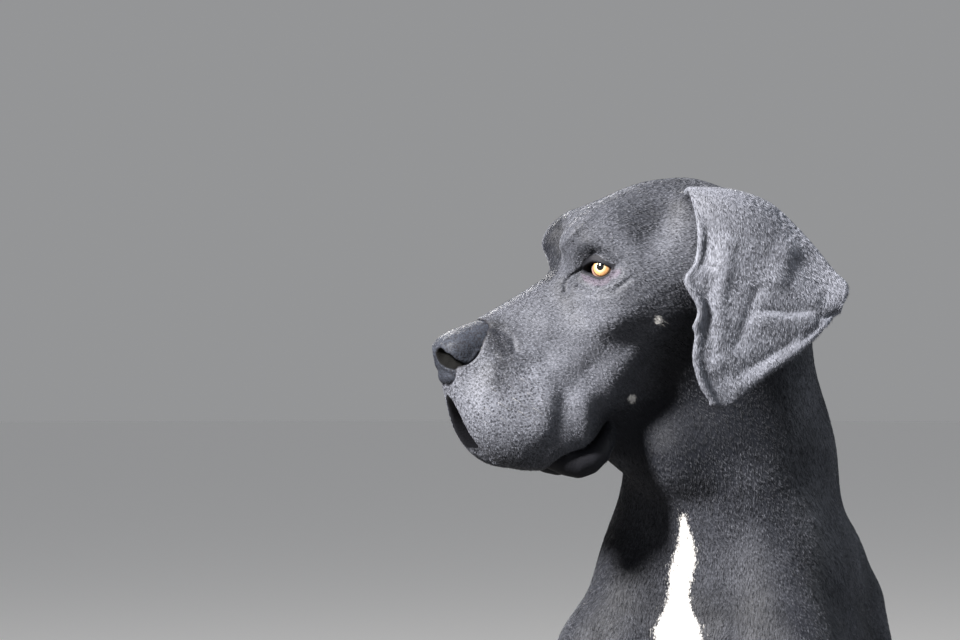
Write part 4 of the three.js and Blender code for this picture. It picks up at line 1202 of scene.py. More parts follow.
def coat_marks(p):
    """White, bare, lid and speckled shares from 0 to 1, and the painted shade and light of the head,
    for places on or near the skin.
    """
    lid, speckled, painted_shading = np.zeros((3, p.shape[1]))
    white = blaze_share(p)
    bare = 1 - smooth(4, 9, p[2])
    head = p[2] > HEAD_COAT[0]
    q = np.stack(to_head(p[:, head]))
    rim, lid[head] = lid_shares(q)
    pad = 1 - smooth(0.2, 2.4, nose_pad(q))
    # The lids' bare rim, taken into the bare share here, is partly painted shade above the eye
    bare[head] = np.max([rim, lip_share(q), pad, bare[head]], axis=0)
    for a, u, size in CHEEK_SPOTS:
        far = ((q[0] - a) ** 2 + (q[2] - u) ** 2) ** 0.5
        spot = SPOT_WHITE * (1 - smooth(size * 0.3, size, far)) * (q[1] > 0)
        white[head] = np.maximum(white[head], spot)
    side = smooth(10, 22, np.abs(q[1]))
    # front paints shade on the stop and the front of the brows, between the eyes
    front = smooth(112, 130, q[0]) * smooth(0, 14, q[2]) * (1 - smooth(14, 30, np.abs(q[1] + 8)))
    painted_shading[head] = relief((q[0], q[2]), PAINTED_SHADING_LINES) * side + 1.5 * front
    beside_mouth = smooth(142, 165, q[0]) * smooth(40, 70, -q[2]) * smooth(12, 20, np.abs(q[1]))
    beside_nose = smooth(182, 192, q[0]) * smooth(28, 40, -q[2])
    speckled[head] = np.maximum(beside_mouth, beside_nose) * (q[2] > -172)
    return white, bare, lid, speckled, np.clip(painted_shading, -1.5, 2)


def mark(mesh, p, tone):
    """Writes the marks and the tone of the coat onto a mesh whose vertices have places p, the tone
    darkened by the painted shade and lightened by the painted light.
    """
    white, bare, lid, speckled, painted_shading = coat_marks(p)
    colours = np.stack([white, bare, lid, speckled], axis=1)
    set_attribute(mesh, "marks", colours, "FLOAT_COLOR")
    set_attribute(mesh, "tone", tone - 0.35 * painted_shading)


# Pieces

def thin(obj, share):
    """Leaves a mesh object that share of its triangles, the fewest where it is flat."""
    fewer = obj.modifiers.new("fewer", "DECIMATE")
    fewer.ratio = share
    seen = obj.evaluated_get(bpy.context.evaluated_depsgraph_get())
    mesh = bpy.data.meshes.new_from_object(seen)
    obj.modifiers.clear()
    old = obj.data
    obj.data = mesh
    mesh.name = obj.name
    bpy.data.meshes.remove(old)


SKIN_NODES = (
    "head", "lower_jaw", "ear_left", "ear_right", "neck", "torso", "forearm_left", "forearm_right",
    "fore_paw_left", "fore_paw_right", "thigh_left", "thigh_right", "shank_left", "shank_right",
    "hind_paw_left", "hind_paw_right", "tail_base", "tail_tip")


def make_skin(settings, looks):
    """The skin: its nets, thinned where they are flat, with the marks of the coat on it."""
    points, squares, strip = skin_net(settings.body_cell, settings.head_cell, settings.eye_cell)
    obj = new_object("skin", points, [squares, strip])
    triangles = 2 * len(squares) + len(strip)
    if triangles > settings.skin_faces:
        thin(obj, settings.skin_faces / triangles)
    p = read_points(obj)
    region = regions(p)[0]
    mark(obj.data, p, regional_tone_and_painted_light(p, region) - SKIN_DARKER)
    set_attribute(obj.data, "head", smooth(*HEAD_COAT, p[2]) * (region != EAR_REGION))
    give(obj, coat_material("blue_coat_skin", looks, False), "coat", *SKIN_NODES)


# The nose's own mesh: its cell and how far its grid reaches
NOSE_CELL = 0.95
NOSE_REACH = ((190, 258), (-34, 34), (-98, -20))
NOSTRIL = ((256, 10, -61), (248, 15, -62.5), (242, 20, -66), (235, 24, -70.5), (227, 27.5, -73),
           (219, 29, -70), (214, 29, -61))
NOSTRIL_RADII = (5.6, 7.2, 6.6, 4.0, 2.2, 1.8, 1.5)
NOSE_GROOVE = [(256, 0, -50), (251, 0, -66), (246, 0, -80), (238, 0, -96)]
WING_CREASE = [(243, 19, -47), (230, 26, -42), (216, 27, -46)]


def nostril(q):
    """The hole of each nostril, which narrows to a slit and curls up behind the wing."""
    return rope((q[0], np.abs(q[1]), q[2]), NOSTRIL, NOSTRIL_RADII, 2)


def nose_field(q):
    """The bare nose: the pad with its two nostrils carved, a rim round each, a crease above the wing
    and the groove down the middle."""
    pad = nose_pad(q)
    hole = nostril(q)
    pad = pad - 1.1 * np.exp(-(((hole - 2.4) / 2.2) ** 2))
    pad = carve(pad, -hole, 1.4)
    crease = near_line((q[0], np.abs(q[1]), q[2]), WING_CREASE)
    pad = pad + 0.8 * np.exp(-((crease / 3.0) ** 2))
    return pad + 1.8 * np.exp(-((near_line(q, NOSE_GROOVE) / 1.8) ** 2))


def make_nose(looks):
    """The nose leather, a net of its own."""
    places = [spread(*reach, NOSE_CELL) for reach in NOSE_REACH]
    points, squares = surface_net(near_surface(nose_field, places), places)
    points = settle(nose_field, points, squares, 0.4)
    obj = new_object("nose_pad", np.stack(from_head(points)), squares)
    # The nostrils' depth, coloured near black in the leather: dark skin and painted shade
    set_attribute(obj.data, "deep", 1 - smooth(0.2, 1.4, nostril(points)))
    give(obj, leather_material(looks), "dark_skin", "nose")


def ring_faces(rows, around):
    """Squares between rings of vertices that follow one another, and triangles that close the first
    and the last ring with the two vertices that come after all the rings."""
    i, j = np.meshgrid(np.arange(rows - 1), np.arange(around), indexing="ij")
    a, b = i * around + j, i * around + (j + 1) % around
    squares = np.stack([a, b, b + around, a + around], axis=-1).reshape(-1, 4)
    ring = np.arange(around)
    after = (ring + 1) % around
    last, end = (rows - 1) * around, rows * around
    caps = np.concatenate([
        np.stack([np.full(around, end), after, ring], 1),
        np.stack([np.full(around, end + 1), last + ring, last + after], 1)])
    return squares, caps


def turned_surface(theta, radius, around):
    """A closed surface of turning about its own axis: rings at angles theta from the axis, each at
    its radius, with a vertex at both ends. Gives places, squares and triangles."""
    phi = np.arange(around) * 2 * np.pi / around
    t, f = np.meshgrid(theta, phi, indexing="ij")
    r = radius[:, None]
    points = np.stack([r * np.cos(t), r * np.sin(t) * np.cos(f), r * np.sin(t) * np.sin(f)])
    ends = np.array([[radius[0], 0, 0], [-radius[-1], 0, 0]]).T
    squares, caps = ring_faces(len(theta), around)
    return np.concatenate([points.reshape(3, -1), ends], axis=1), squares[:, ::-1], caps[:, ::-1]


# How far the cornea rises over the iris, and how far the ball lies inside its full size
CORNEA_RISE = 1.0
EYE_INSET = 0.15


def make_eye(settings, name, side):
    """An eyeball that looks outwards: a ball with the cornea's low bulge over the iris."""
    theta = np.radians(np.r_[np.linspace(1.2, 46, 34), np.linspace(50, 178, 26)])
    iris = settings.iris_size / MM / 2 / EYE_RADIUS
    bulge = CORNEA_RISE * (1 - smooth(0.0, math.asin(iris) * 1.1, theta))
    local, squares, caps = turned_surface(theta, EYE_RADIUS - EYE_INSET + bulge, 48)
    c, s = math.cos(settings.gaze), math.sin(settings.gaze)
    rise = settings.gaze_up
    ahead = np.array([c * math.cos(rise), s * math.cos(rise), math.sin(rise)])
    across = np.array([-s, c, 0])
    axes = np.stack([ahead, across, np.cross(ahead, across)], axis=1)
    q = axes @ local + np.array(EYE_AT)[:, None]
    q[1] *= side
    if side < 0:
        squares, caps = squares[:, ::-1], caps[:, ::-1]
    obj = new_object(name, np.stack(from_head(q)), [squares, caps])
    angle = np.arctan2(np.hypot(local[1], local[2]), local[0])
    ring = np.sin(np.minimum(angle, np.pi / 2)) / iris
    around = np.arctan2(local[2], local[1])
    set_attribute(obj.data, "ring", ring)
    fibre = np.stack([np.cos(around), np.sin(around), ring * 0.16], axis=1)
    set_attribute(obj.data, "fibre", fibre, "FLOAT_VECTOR")
    material = bpy.data.materials.get("amber_eye") or eye_material(settings)
    give(obj, material, "eyeball", "eye_left" if side > 0 else "eye_right")


def tubes(lines, radii, sides):
    """Many round bars at once. lines holds the places along each, in order, and radii the radius at
    each place; a ring of the same number of sides stands across the line there, and the bar closes
    in a point at both ends. Gives places, squares and triangles."""
    count, steps = radii.shape
    along = np.gradient(lines, axis=1)
    along /= np.linalg.norm(along, axis=2, keepdims=True)
    first = np.cross(along, np.array([0.31, 0.12, 0.94]))
    first /= np.linalg.norm(first, axis=2, keepdims=True)
    second = np.cross(along, first)
    turn = np.arange(sides) * 2 * np.pi / sides
    ring = (first[:, :, None] * np.cos(turn)[:, None] + second[:, :, None] * np.sin(turn)[:, None])
    rings = lines[:, :, None] + ring * radii[:, :, None, None]
    places = np.concatenate([rings.reshape(count, -1, 3), lines[:, :1], lines[:, -1:]], axis=1)
    squares, caps = ring_faces(steps, sides)
    start = (np.arange(count) * (steps * sides + 2))[:, None, None]
    return places.reshape(-1, 3).T, (squares + start).reshape(-1, 4), (caps + start).reshape(-1, 3)


def make_claws(looks):
    """Sixteen claws: thick cones that leave the toe level and curve down to a blunt tip."""
    run = np.array([-0.45, -0.1, 0.15, 0.4, 0.62, 0.8, 0.93, 1.0])
    beyond = np.maximum(run, 0)
    round_off = np.sqrt(np.clip(1 - np.maximum(run - 0.8, 0) ** 2 / 0.05, 0.1, 1))
    thin_by = np.where(run > 0, 1 - 0.62 * run, 1) * round_off
    lines, radii = [], []
    for s in (1, -1):
        for at, ahead, size in (FORE_PAW, HIND_PAW):
            for side, reach in TOES:
                x = s * (at + side * 1.12 * size)
                f = ahead + (65 + reach) * size + CLAW_LENGTH * size * run
                z = 19 * size - 8.5 * size * beyond ** 2
                lines.append(np.stack([x + s * side * 0.05 * beyond, -f, z], axis=1))
                radii.append(CLAW_RADIUS * size * thin_by)
    points, squares, caps = tubes(np.array(lines), np.array(radii), 12)
    obj = new_object("claws", points, [squares, caps])
    give(obj, claw_material(looks), "dark_skin")


# The coat: which way it lies

# Guides of the lie in the frame of the left side, out, ahead and up: a centre, how far it reaches,
# and the way the hair points there
BODY_LIE = [
    ((60, 60, 740), 90, (0.1, -0.5, -0.85)), ((0, 40, 640), 110, (0, -0.45, -0.9)),
    ((0, -60, 480), 110, (0, -0.4, -0.92)), ((0, -150, 300), 110, (0, -0.3, -0.95)),
    ((60, -190, 120), 90, (0.2, -0.2, -0.95)), ((0, 290, 600), 80, (0.0, 0.1, -1)),
    ((40, 250, 480), 80, (0.15, -0.25, -0.95)), ((110, 140, 560), 80, (0.1, -0.55, -0.85)),
    ((120, 40, 440), 90, (0.1, -0.6, -0.8)), ((90, 220, 740), 80, (0.3, -0.25, -0.92)),
    ((0, 270, 740), 70, (0.0, 0.0, -1)), ((95, 210, 360), 60, (0, -0.15, -1)),
    ((92, 225, 220), 60, (0, -0.08, -1)), ((90, 240, 100), 50, (0, 0.25, -1)),
    ((90, 300, 30), 50, (0, 1, -0.5)), ((110, -60, 250), 90, (0.1, 0.5, -0.85)),
    ((140, 40, 250), 80, (0.1, 0.75, -0.65)), ((150, 100, 240), 60, (0, 0.2, -1)),
    ((140, 0, 170), 60, (0, -0.7, -0.7)), ((132, -90, 110), 60, (0, -0.7, -0.7)),
    ((130, -130, 50), 40, (0, 0.1, -1)), ((145, -20, 40), 60, (0, 1, -0.15)),
    ((152, 110, 30), 50, (0, 1, -0.5)),
]
# The same in the frame of the head: ahead, out and up
HEAD_LIE = [
    ((230, 20, -50), 30, (-1, 0.1, 0.1)), ((180, 0, -10), 40, (-1, 0.1, 0.0)),
    ((200, 38, -90), 40, (-0.75, 0.1, -0.75)), ((160, 50, -130), 40, (-0.55, 0, -0.9)),
    ((215, 30, -140), 30, (-0.3, 0, -1)), ((150, 40, -50), 40, (-1, 0.1, -0.25)),
    ((140, 0, 30), 30, (-0.75, 0.2, 0.7)), ((120, 0, 70), 40, (-0.8, 0.2, 0.5)),
    ((60, 0, 105), 60, (-1, 0.3, 0)), ((-10, 0, 105), 60, (-1, 0.2, -0.1)),
    ((-80, 0, 50), 50, (-0.5, 0, -0.9)), ((100, 60, -30), 40, (-0.9, 0.2, -0.45)),
    ((60, 75, 30), 40, (-1, 0.1, -0.1)), ((50, 75, -50), 50, (-0.9, 0, -0.5)),
    ((90, 60, -110), 40, (-0.8, 0, -0.7)), ((10, 70, -60), 50, (-0.7, 0, -0.75)),
    ((-10, 60, -120), 60, (-0.3, 0, -1)), ((-60, 60, -60), 60, (-0.3, 0, -1)),
    ((20, 0, -110), 60, (-0.8, 0, -0.6)), ((0, 0, -170), 60, (-0.25, 0, -1)),
]


def guided(p, guides):
    """The guides' ways added up, each weighed by e to the minus square of the distance to its centre
    over its reach, and the sum of those weights."""
    total, way = 0, 0
    for centre, reach, points in guides:
        far = sum((p[i] - centre[i]) ** 2 for i in range(3)) / reach ** 2
        weight = np.exp(-far) + 1e-9 / (1 + far)
        total = total + weight
        way = way + weight * np.array(points, dtype=float)[:, None]
    return way, total


def lie(p):
    """Which way the coat points at each place, before it is laid along the skin."""
    way, total = guided(to_left(p), BODY_LIE)
    way = np.stack([way[0] * np.where(p[0] < 0, -1.0, 1.0), -way[1], way[2]])
    q = np.stack(to_head(p))
    head, more = guided(np.stack([q[0], np.abs(q[1]), q[2]]), HEAD_LIE)
    head = way_from_head(np.stack([head[0], head[1] * np.where(q[1] < 0, -1.0, 1.0), head[2]]))
    share = smooth(*HEAD_COAT, p[2])
    way = way / total * (1 - share) + head / more * share
    tail = (p[1] > 196) & (p[2] < 200)
    if tail.any():
        way[:, tail] = np.gradient(TAIL_POINTS, axis=0)[nearest_tail_step(p[:, tail])].T
    return way


def ear_lie(p):
    """Which way the coat points on the ears: along the ear's sheet from its root to its border."""
    q = np.stack(to_head(p))
    side = np.where(q[1] < 0, -1.0, 1.0)
    way = np.empty_like(q)
    for one in (1, -1):
        mine = side == one
        s, t, _ = ear_nearest(EARS[one], np.stack([q[0][mine], one * q[1][mine], q[2][mine]]))
        way[:, mine] = read_table(np.gradient(EARS[one], axis=1), s, t)
    way[1] *= side
    return way_from_head(way)


# The coat: where it grows and on which unwrap of the skin each tuft has its patch

REGION_NAMES = ("ears", "head", "trunk", "forelegs", "hindlegs", "tail")
EAR_REGION, HEAD_REGION, TRUNK_REGION, FORE_REGION, HIND_REGION, TAIL_REGION = range(6)
PANEL_EDGE = 0.02


def fitted(share):
    """A share from 0 to 1 of a panel of the unwrap, moved clear of the panel's edges."""
    return PANEL_EDGE + (1 - 2 * PANEL_EDGE) * share


def wrapped(around, along, low, high, panel=0.0, panels=1):
    """A patch's place on a round part: how far round it as the first coordinate, in its own share of
    the map's width, and how far along it as the second."""
    first = (around / (2 * np.pi)) % 1.0
    second = np.clip((along - low) / (high - low), 0, 1)
    return np.stack([(panel + fitted(first)) / panels, fitted(second)])


def regions(p):
    """For each root, the number of its region and its place on that region's unwrap: ears as their
    two faces side by side, the head wrapped round its length, neck and trunk round an upright line,
    legs and tail round their own lengths."""
    region = np.full(p.shape[1], TRUNK_REGION)
    left = to_left(p)
    right = p[0] < 0
    middle = np.interp(p[2], [100, 600, 760], [-90, 130, 175])
    place = wrapped(np.arctan2(p[0], -p[1] - middle), p[2], 0, 900)

    def take(number, mine, spots):
        region[mine] = number
        place[:, mine] = spots[:, mine]

    q = np.stack(to_head(p))
    head = (p[2] > 765) & (head_field(q) < 6)
    take(HEAD_REGION, head, wrapped(np.arctan2(q[1], q[2] + 30), q[0], -100, 250))
    outside_trunk = melted(left, TRUNK) > -2
    fore = (p[2] < 430) & (fore_leg(left) < 3) & outside_trunk
    around = np.arctan2(left[0] - 90, left[1] - 225)
    take(FORE_REGION, fore, wrapped(around, p[2], 0, 430, right, 2))
    leg = np.minimum(melted(left, THIGH), np.minimum(melted(left, SHANK), hind_foot(left)))
    hind = (p[2] < 420) & ~fore & (leg < 3) & (left[0] > 60) & outside_trunk
    around = np.arctan2(left[2] - 120, left[0] - 120)
    take(HIND_REGION, hind, wrapped(around, left[1], -220, 180, right, 2))
    tail = (p[1] > 200) & (p[2] < 160)
    region[tail] = TAIL_REGION
    step = nearest_tail_step(p[:, tail])
    off = p[:, tail] - TAIL_POINTS[step].T
    place[:, tail] = wrapped(np.arctan2(off[2], off[0] - off[1]), step, 0, TAIL_STEPS)
    for side in (1, -1):
        mine = np.stack([q[0], side * q[1], q[2]])
        near = (p[2] > 800) & (mine[1] > 30)
        s, t, far = ear_nearest(EARS[side], mine[:, near])
        flap = (far < 4.2) & (s > 0.12)
        at = np.nonzero(near)[0][flap]
        inner = mine[1][at] < read_table(EARS[side], s[flap], t[flap])[1]
        panel = inner + 2 * (side < 0)
        region[at] = EAR_REGION
        place[:, at] = [(panel + 0.03 + 0.94 * t[flap]) / 4, fitted(s[flap])]
    return region, place


# Length and width of a tuft in millimetres and how thickly tufts grow next to one another, by region
TUFT_LENGTH = np.array([5.5, 4.4, 8.0, 6.5, 8.0, 8.5])
TUFT_WIDTH = np.array([0.3, 0.32, 0.55, 0.5, 0.6, 0.6])
TUFT_SHARE = np.array([7.0, 7.0, 1.3, 1.4, 1.2, 1.5])

# The coat's lightness on ears, head and body, partly its own and partly painted light and shade:
# the ears and face paler where light falls, the body darker. And how much darker the skin below it is
EAR_TONE, HEAD_TONE, BODY_TONE = 0.9, 0.34, 0.06
SKIN_DARKER = 0.05

# A tuft's four triangles by its corners, half the side of its patch on the unwrap, the most tufts of a
# piece, and how far from the floor the soles have no tufts
TUFT_FACES = np.array([(0, 2, 3), (2, 1, 3), (1, 0, 3), (0, 1, 2)])
PATCH = 0.0015
PIECE_TUFTS = 48000
BARE_SOLE = 3.5
COAT_SEED, WHISKER_SEED = 17, 5


def regional_tone_and_painted_light(p, region):
    """The coat's lightness by place: dark on the body, paler on the head, palest on the ears, partly
    the coat's own and partly painted light and shade.
    """
    q = to_head(p)
    face = smooth(FACE_BOTTOM, 830, p[2]) * smooth(-30, 60, q[0] + 0.5 * q[2] + 20)
    return np.where(region == EAR_REGION, EAR_TONE, BODY_TONE + (HEAD_TONE - BODY_TONE) * face)


def face_share(p, low, high):
    """How far each place is on the face: from 0 at low millimetres ahead of the ears to 1 at high."""
    return smooth(low, high, to_head(p)[0]) * (p[2] > FACE_BOTTOM)


def scatter(obj, count, rng):
    """Random places on a mesh, as many on each triangle as its area and the coat's thickness there
    ask. Gives the places and the smooth normals at them."""
    mesh = obj.data
    p = read_points(obj)
    normals = np.empty(len(mesh.vertices) * 3, dtype=np.float32)
    mesh.vertex_normals.foreach_get("vector", normals)
    normals = normals.reshape(-1, 3).T
    mesh.calc_loop_triangles()
    corners = np.empty(len(mesh.loop_triangles) * 3, dtype=np.int32)
    mesh.loop_triangles.foreach_get("vertices", corners)
    a, b, c = corners.reshape(-1, 3).T
    area = np.linalg.norm(np.cross((p[:, b] - p[:, a]).T, (p[:, c] - p[:, a]).T), axis=1) / 2
    middle = (p[:, a] + p[:, b] + p[:, c]) / 3
    share = TUFT_SHARE[regions(middle)[0]]
    face = face_share(middle, 60, 130)
    share = share * (1 + 0.9 * face + 2.2 * smooth(*UPPER_TRUNK, middle[2]) * (share < 2))
    weight = np.cumsum(area * share)
    pick = np.searchsorted(weight, rng.random(count) * weight[-1])
    u, v = rng.random((2, count))
    over = u + v > 1
    u[over], v[over] = 1 - u[over], 1 - v[over]
    mix = np.stack([1 - u - v, u, v])
    ids = np.stack([a[pick], b[pick], c[pick]])
    places = sum(p[:, ids[k]] * mix[k] for k in range(3))
    normal = sum(normals[:, ids[k]] * mix[k] for k in range(3))
    return places, normal / np.linalg.norm(normal, axis=0)


def tuft_mesh(root, normal, way, length, width, lift):
    """A tuft is a thin pyramid of four triangles: three places across its root, two of them sunk under
    the skin, and its tip at the root plus its length along the lie, raised by the lift."""
    across = np.cross(way.T, normal.T).T
    tip = root + (way * np.cos(lift) + normal * np.sin(lift)) * length
    heel = root - way * width * 1.5
    corners = np.stack([
        heel + across * width / 2 - normal * width * 0.3,
        heel - across * width / 2 - normal * width * 0.3,
        heel + normal * width * 0.35, tip], axis=1)
    start = (np.arange(root.shape[1]) * 4)[:, None, None]
    return corners.transpose(2, 1, 0).reshape(-1, 3).T, (start + TUFT_FACES).reshape(-1, 3)


def make_coat(settings, looks):
    """The coat: short tufts that lie along the skin, in pieces by region."""
    rng = np.random.default_rng(COAT_SEED)
    root, normal = scatter(bpy.data.objects["skin"], settings.tufts, rng)
    hairy = (coat_marks(root)[1] < 0.5) & (root[2] + normal[2] * 2 >= BARE_SOLE)
    root, normal = root[:, hairy], normal[:, hairy]
    count = root.shape[1]
    region, place = regions(root)
    ears, trunk = region == EAR_REGION, region == TRUNK_REGION
    way = lie(root)
    way[:, ears] = ear_lie(root[:, ears])
    way = way - normal * (way * normal).sum(0)
    way /= np.maximum(np.linalg.norm(way, axis=0), 1e-6)
    across = np.cross(way.T, normal.T).T
    swirl = 0.2 * np.sin(root[0] * 0.11 + root[2] * 0.07) * np.sin(root[1] * 0.09 - root[2] * 0.05)
    yaw = swirl + rng.normal(0, 0.13, count)
    way = way * np.cos(yaw) + across * np.sin(yaw)
    size = rng.uniform(0.7, 1.3, count)
    face, muzzle = face_share(root, 60, 150), face_share(root, 110, 160)
    paws = 1 - smooth(30, 110, root[2])
    upper = smooth(*UPPER_TRUNK, root[2]) * trunk
    size = size * (1 - 0.4 * face) * (1 - 0.4 * paws) * (1 - 0.3 * upper)
    length = TUFT_LENGTH[region] * size
    width = TUFT_WIDTH[region] * (1 - 0.25 * face) * (1 - 0.4 * upper) * rng.uniform(0.8, 1.2, count)
    lift = settings.lift * rng.uniform(0.6, 1.5, count)
    uneven = 0.14 + 0.16 * face + 0.15 * muzzle
    tone = rng.normal(0, 1, count) * uneven + regional_tone_and_painted_light(root, region)
    blurred = root + rng.normal(0, 1, root.shape) * np.where(trunk, 2.6, 0.4)
    material = coat_material("blue_coat_hair", looks, True)
    patch = (np.array([(-1, -1), (1, -1), (1, 1), (-1, 1)]) * PATCH)[TUFT_FACES].reshape(1, 12, 2)
    for number, name in enumerate(REGION_NAMES):
        mine = np.nonzero(region == number)[0]
        mine = mine[np.argsort(place[1, mine])]
        parts = max(1, math.ceil(len(mine) / PIECE_TUFTS))
        for part, some_of in enumerate(np.array_split(mine, parts)):
            points, faces = tuft_mesh(root[:, some_of], normal[:, some_of], way[:, some_of],
                                      length[some_of], width[some_of], lift[some_of])
            obj = new_object(f"coat_{name}_{part + 1}", points, faces)
            mark(obj.data, np.repeat(blurred[:, some_of], 4, axis=1), np.repeat(tone[some_of], 4))
            layer = obj.data.uv_layers.new(name="OFBake")
            uv = place[:, some_of].T[:, None] + patch
            layer.data.foreach_set("uv", uv.ravel().astype(np.float32))
            give(obj, material, "coat")


# Whiskers of brow and cheek, ahead, up and how long, and the colours of a whisker
LONE_WHISKERS = [(106, 62, 5), (101, 64, 5), (96, 62, 5), (52, -28.5, 12), (54, -31, 12), (77, -102, 10)]
WHISKER_DARK, WHISKER_PALE = (0.01, 0.01, 0.012), (0.14, 0.135, 0.13)


def make_whiskers():
    """Whiskers of the muzzle, brows and cheeks: thin hairs that taper and droop from the skin, whose
    place is the outermost one inside it on a line straight outwards."""
    rng = np.random.default_rng(WHISKER_SEED)
    spots = []
    for row, u in enumerate((-90, -104, -118)):
        for a in np.arange(226 - row * 4, 172, -15):
            spots.append((a, u + 0.3 * (210 - a), 22))
    lines, radii = [], []
    run = np.linspace(0, 1, 7)
    for side in (1, -1):
        for a, u, length in spots + LONE_WHISKERS:
            a, u = a + rng.normal(0, 1.5), u + rng.normal(0, 1.5)
            out = np.linspace(10, 100, 91)
            ray = np.stack(from_head((np.full(91, a), side * out, np.full(91, u))))
            inside = skin(ray) < 0
            base = out[np.nonzero(inside)[0].max()] if inside.any() else 30
            reach = length * rng.uniform(0.6, 1.2)
            x = a - reach * (0.45 * run + 0.25 * run ** 2)
            o = side * (base - 2 + reach * (0.75 * run - 0.12 * run ** 2))
            z = u - reach * (0.25 * run + 0.3 * run ** 2)
            lines.append(np.stack(from_head((x, o, z)), axis=1))
            radii.append(0.15 * (1.04 - run) + 0.02)
    points, squares, caps = tubes(np.array(lines), np.array(radii), 5)
    obj = new_object("whiskers", points, [squares, caps])
    material, tree, shader = new_material("whisker_hair", Roughness=0.35)
    feed(tree, shader, Base_Color=mixed(tree, noise(tree, place_on(tree), 60), WHISKER_DARK, WHISKER_PALE))
    give(obj, material, "coat")


# The stage

# The picture's size, from how far to the dog's left it is seen, and the pixel on which the point
# between the ear roots falls
PICTURE = (960, 640)
VIEW_AZIMUTH = math.radians(25)
FACE_PIXEL = (690, 290)
FLOOR_SIDES = 96


def view_axes():
    """The camera's right, up and back directions, for a level view from the dog's front left."""
    c, s = math.cos(VIEW_AZIMUTH), math.sin(VIEW_AZIMUTH)
    return np.array([c, s, 0.0]), np.array([0.0, 0.0, 1.0]), np.array([s, -c, 0.0])


def make_camera(settings):
    """A level camera. The point between the ear roots falls on its own pixel of the picture, at so
    many metres a pixel."""
    right, up, back = view_axes()
    head = (np.array([HEAD_AT[0], -HEAD_AT[1], HEAD_AT[2]]) + shift()) * MM
    scale = settings.pixel_size
    target = (head + right * (PICTURE[0] / 2 - FACE_PIXEL[0]) * scale
              - up * (PICTURE[1] / 2 - FACE_PIXEL[1]) * scale)
    data = bpy.data.cameras.new("camera")
    data.sensor_width = 36
    data.lens = data.sensor_width * settings.distance / (PICTURE[0] * scale)
    data.clip_end = 100
    camera = bpy.data.objects.new("camera", data)
    bpy.context.scene.collection.objects.link(camera)
    camera.location = target + back * settings.distance
    camera.rotation_euler = (math.radians(90), 0, VIEW_AZIMUTH)
    bpy.context.scene.camera = camera
    return Vector(target)


# Soft lights: how far to the right, up and towards the camera from the head, in metres, their
# width and height, their power and their colour
LIGHTS = {
    "key": ((-2.0, 1.65, 1.3), (0.35, 0.35), 560, (1.0, 0.97, 0.93)),
    "rim": ((-1.0, 1.5, -2.4), (0.5, 0.9), 50, (1.0, 0.97, 0.93)),
    "side": ((2.4, 1.1, 0.1), (1.5, 1.5), 60, (0.9, 0.95, 1.0)),
    "fill": ((2.0, 0.2, 2.2), (2.0, 2.0), 12, (0.92, 0.96, 1.0)),
}


def make_floor(settings):
    """A round floor, which takes on the surround's paleness far from the dog."""
    turn = np.linspace(0, 2 * np.pi, FLOOR_SIDES, endpoint=False)
    radius = settings.floor_radius / MM
    rim = np.stack([np.cos(turn) * radius, np.sin(turn) * radius, np.zeros(FLOOR_SIDES)])
    points = np.concatenate([rim, np.zeros((3, 1))], axis=1)
    ring = np.arange(FLOOR_SIDES)
    faces = np.stack([ring, (ring + 1) % FLOOR_SIDES, np.full(FLOOR_SIDES, FLOOR_SIDES)], axis=1)
    floor = new_object("floor", points, faces, False)
    material, tree, shader = new_material("pale_floor", Roughness=0.6)
    place = place_on(tree)
    away = node(tree, "ShaderNodeVectorMath", {0: place}, operation="LENGTH").outputs["Value"]
    away = ranged(tree, summed(tree, away, noise(tree, place, 3), 0.5), 3.0, 7.0)
    feed(tree, shader, Base_Color=mixed(tree, away, settings.floor_near, settings.floor_far))
    floor.data.materials.append(material)


def make_stage(settings):
    """The camera, soft lights that face the head, a pale floor and a pale surround."""
    bpy.context.scene.view_settings.view_transform = "Standard"
    target = make_camera(settings)
    right, up, back = (Vector(v) for v in view_axes())
    head = target + right * 0.2
    for name, (offset, size, power, colour) in LIGHTS.items():
        data = bpy.data.lights.new(name, "AREA")
        data.shape = "RECTANGLE"
        data.size, data.size_y = size
        data.energy = power * settings.light
        data.spread = settings.spread
        data.color = colour
        light = bpy.data.objects.new(name, data)
        bpy.context.scene.collection.objects.link(light)
        light.location = head + right * offset[0] + up * offset[1] + back * offset[2]
        light.rotation_euler = (head - light.location).to_track_quat("-Z", "Y").to_euler()
    make_floor(settings)
    world = bpy.data.worlds.new("surround")
    bpy.context.scene.world = world
    world.use_nodes = True
    sky = world.node_tree.nodes["Background"]
    sky.inputs["Color"].default_value = (*settings.surround, 1)
    sky.inputs["Strength"].default_value = settings.surround_light


# The add-on

def length_setting(name, default, description):
    """A setting that is a length in metres."""
    return bpy.props.FloatProperty(name=name, description=description, default=default, min=0.0,
                                   unit="LENGTH", precision=5)


def angle_setting(name, default, description):
    """A setting that is an angle, with its default in degrees."""
    return bpy.props.FloatProperty(name=name, description=description, default=math.radians(default),
                                   unit="ROTATION")


def count_setting(name, default, description):
    """A setting that is a whole number."""
    return bpy.props.IntProperty(name=name, description=description, default=default, min=1000)


def number_setting(name, default, description):
    """A setting that is a plain number."""
    return bpy.props.FloatProperty(name=name, description=description, default=default, min=0.0)


def colour_setting(name, default, description):
    """A setting that is a colour."""
    return bpy.props.FloatVectorProperty(name=name, description=description, default=default, size=3,
                                         min=0.0, max=1.0, subtype="COLOR")


class DaneSkin(bpy.types.PropertyGroup):
    """Sizes of the skin's mesh."""

    body_cell: number_setting("Body cell", 7.0, "Millimetres of a cell of the body's grid")
    head_cell: number_setting("Head cell", 2.6, "Millimetres of a cell of the head's grid")
    eye_cell: number_setting("Eye cell", 1.3, "Millimetres of a cell of the head's grid at the eyes")
    skin_faces: count_setting("Skin triangles", 196000, "The most triangles that the skin may have")


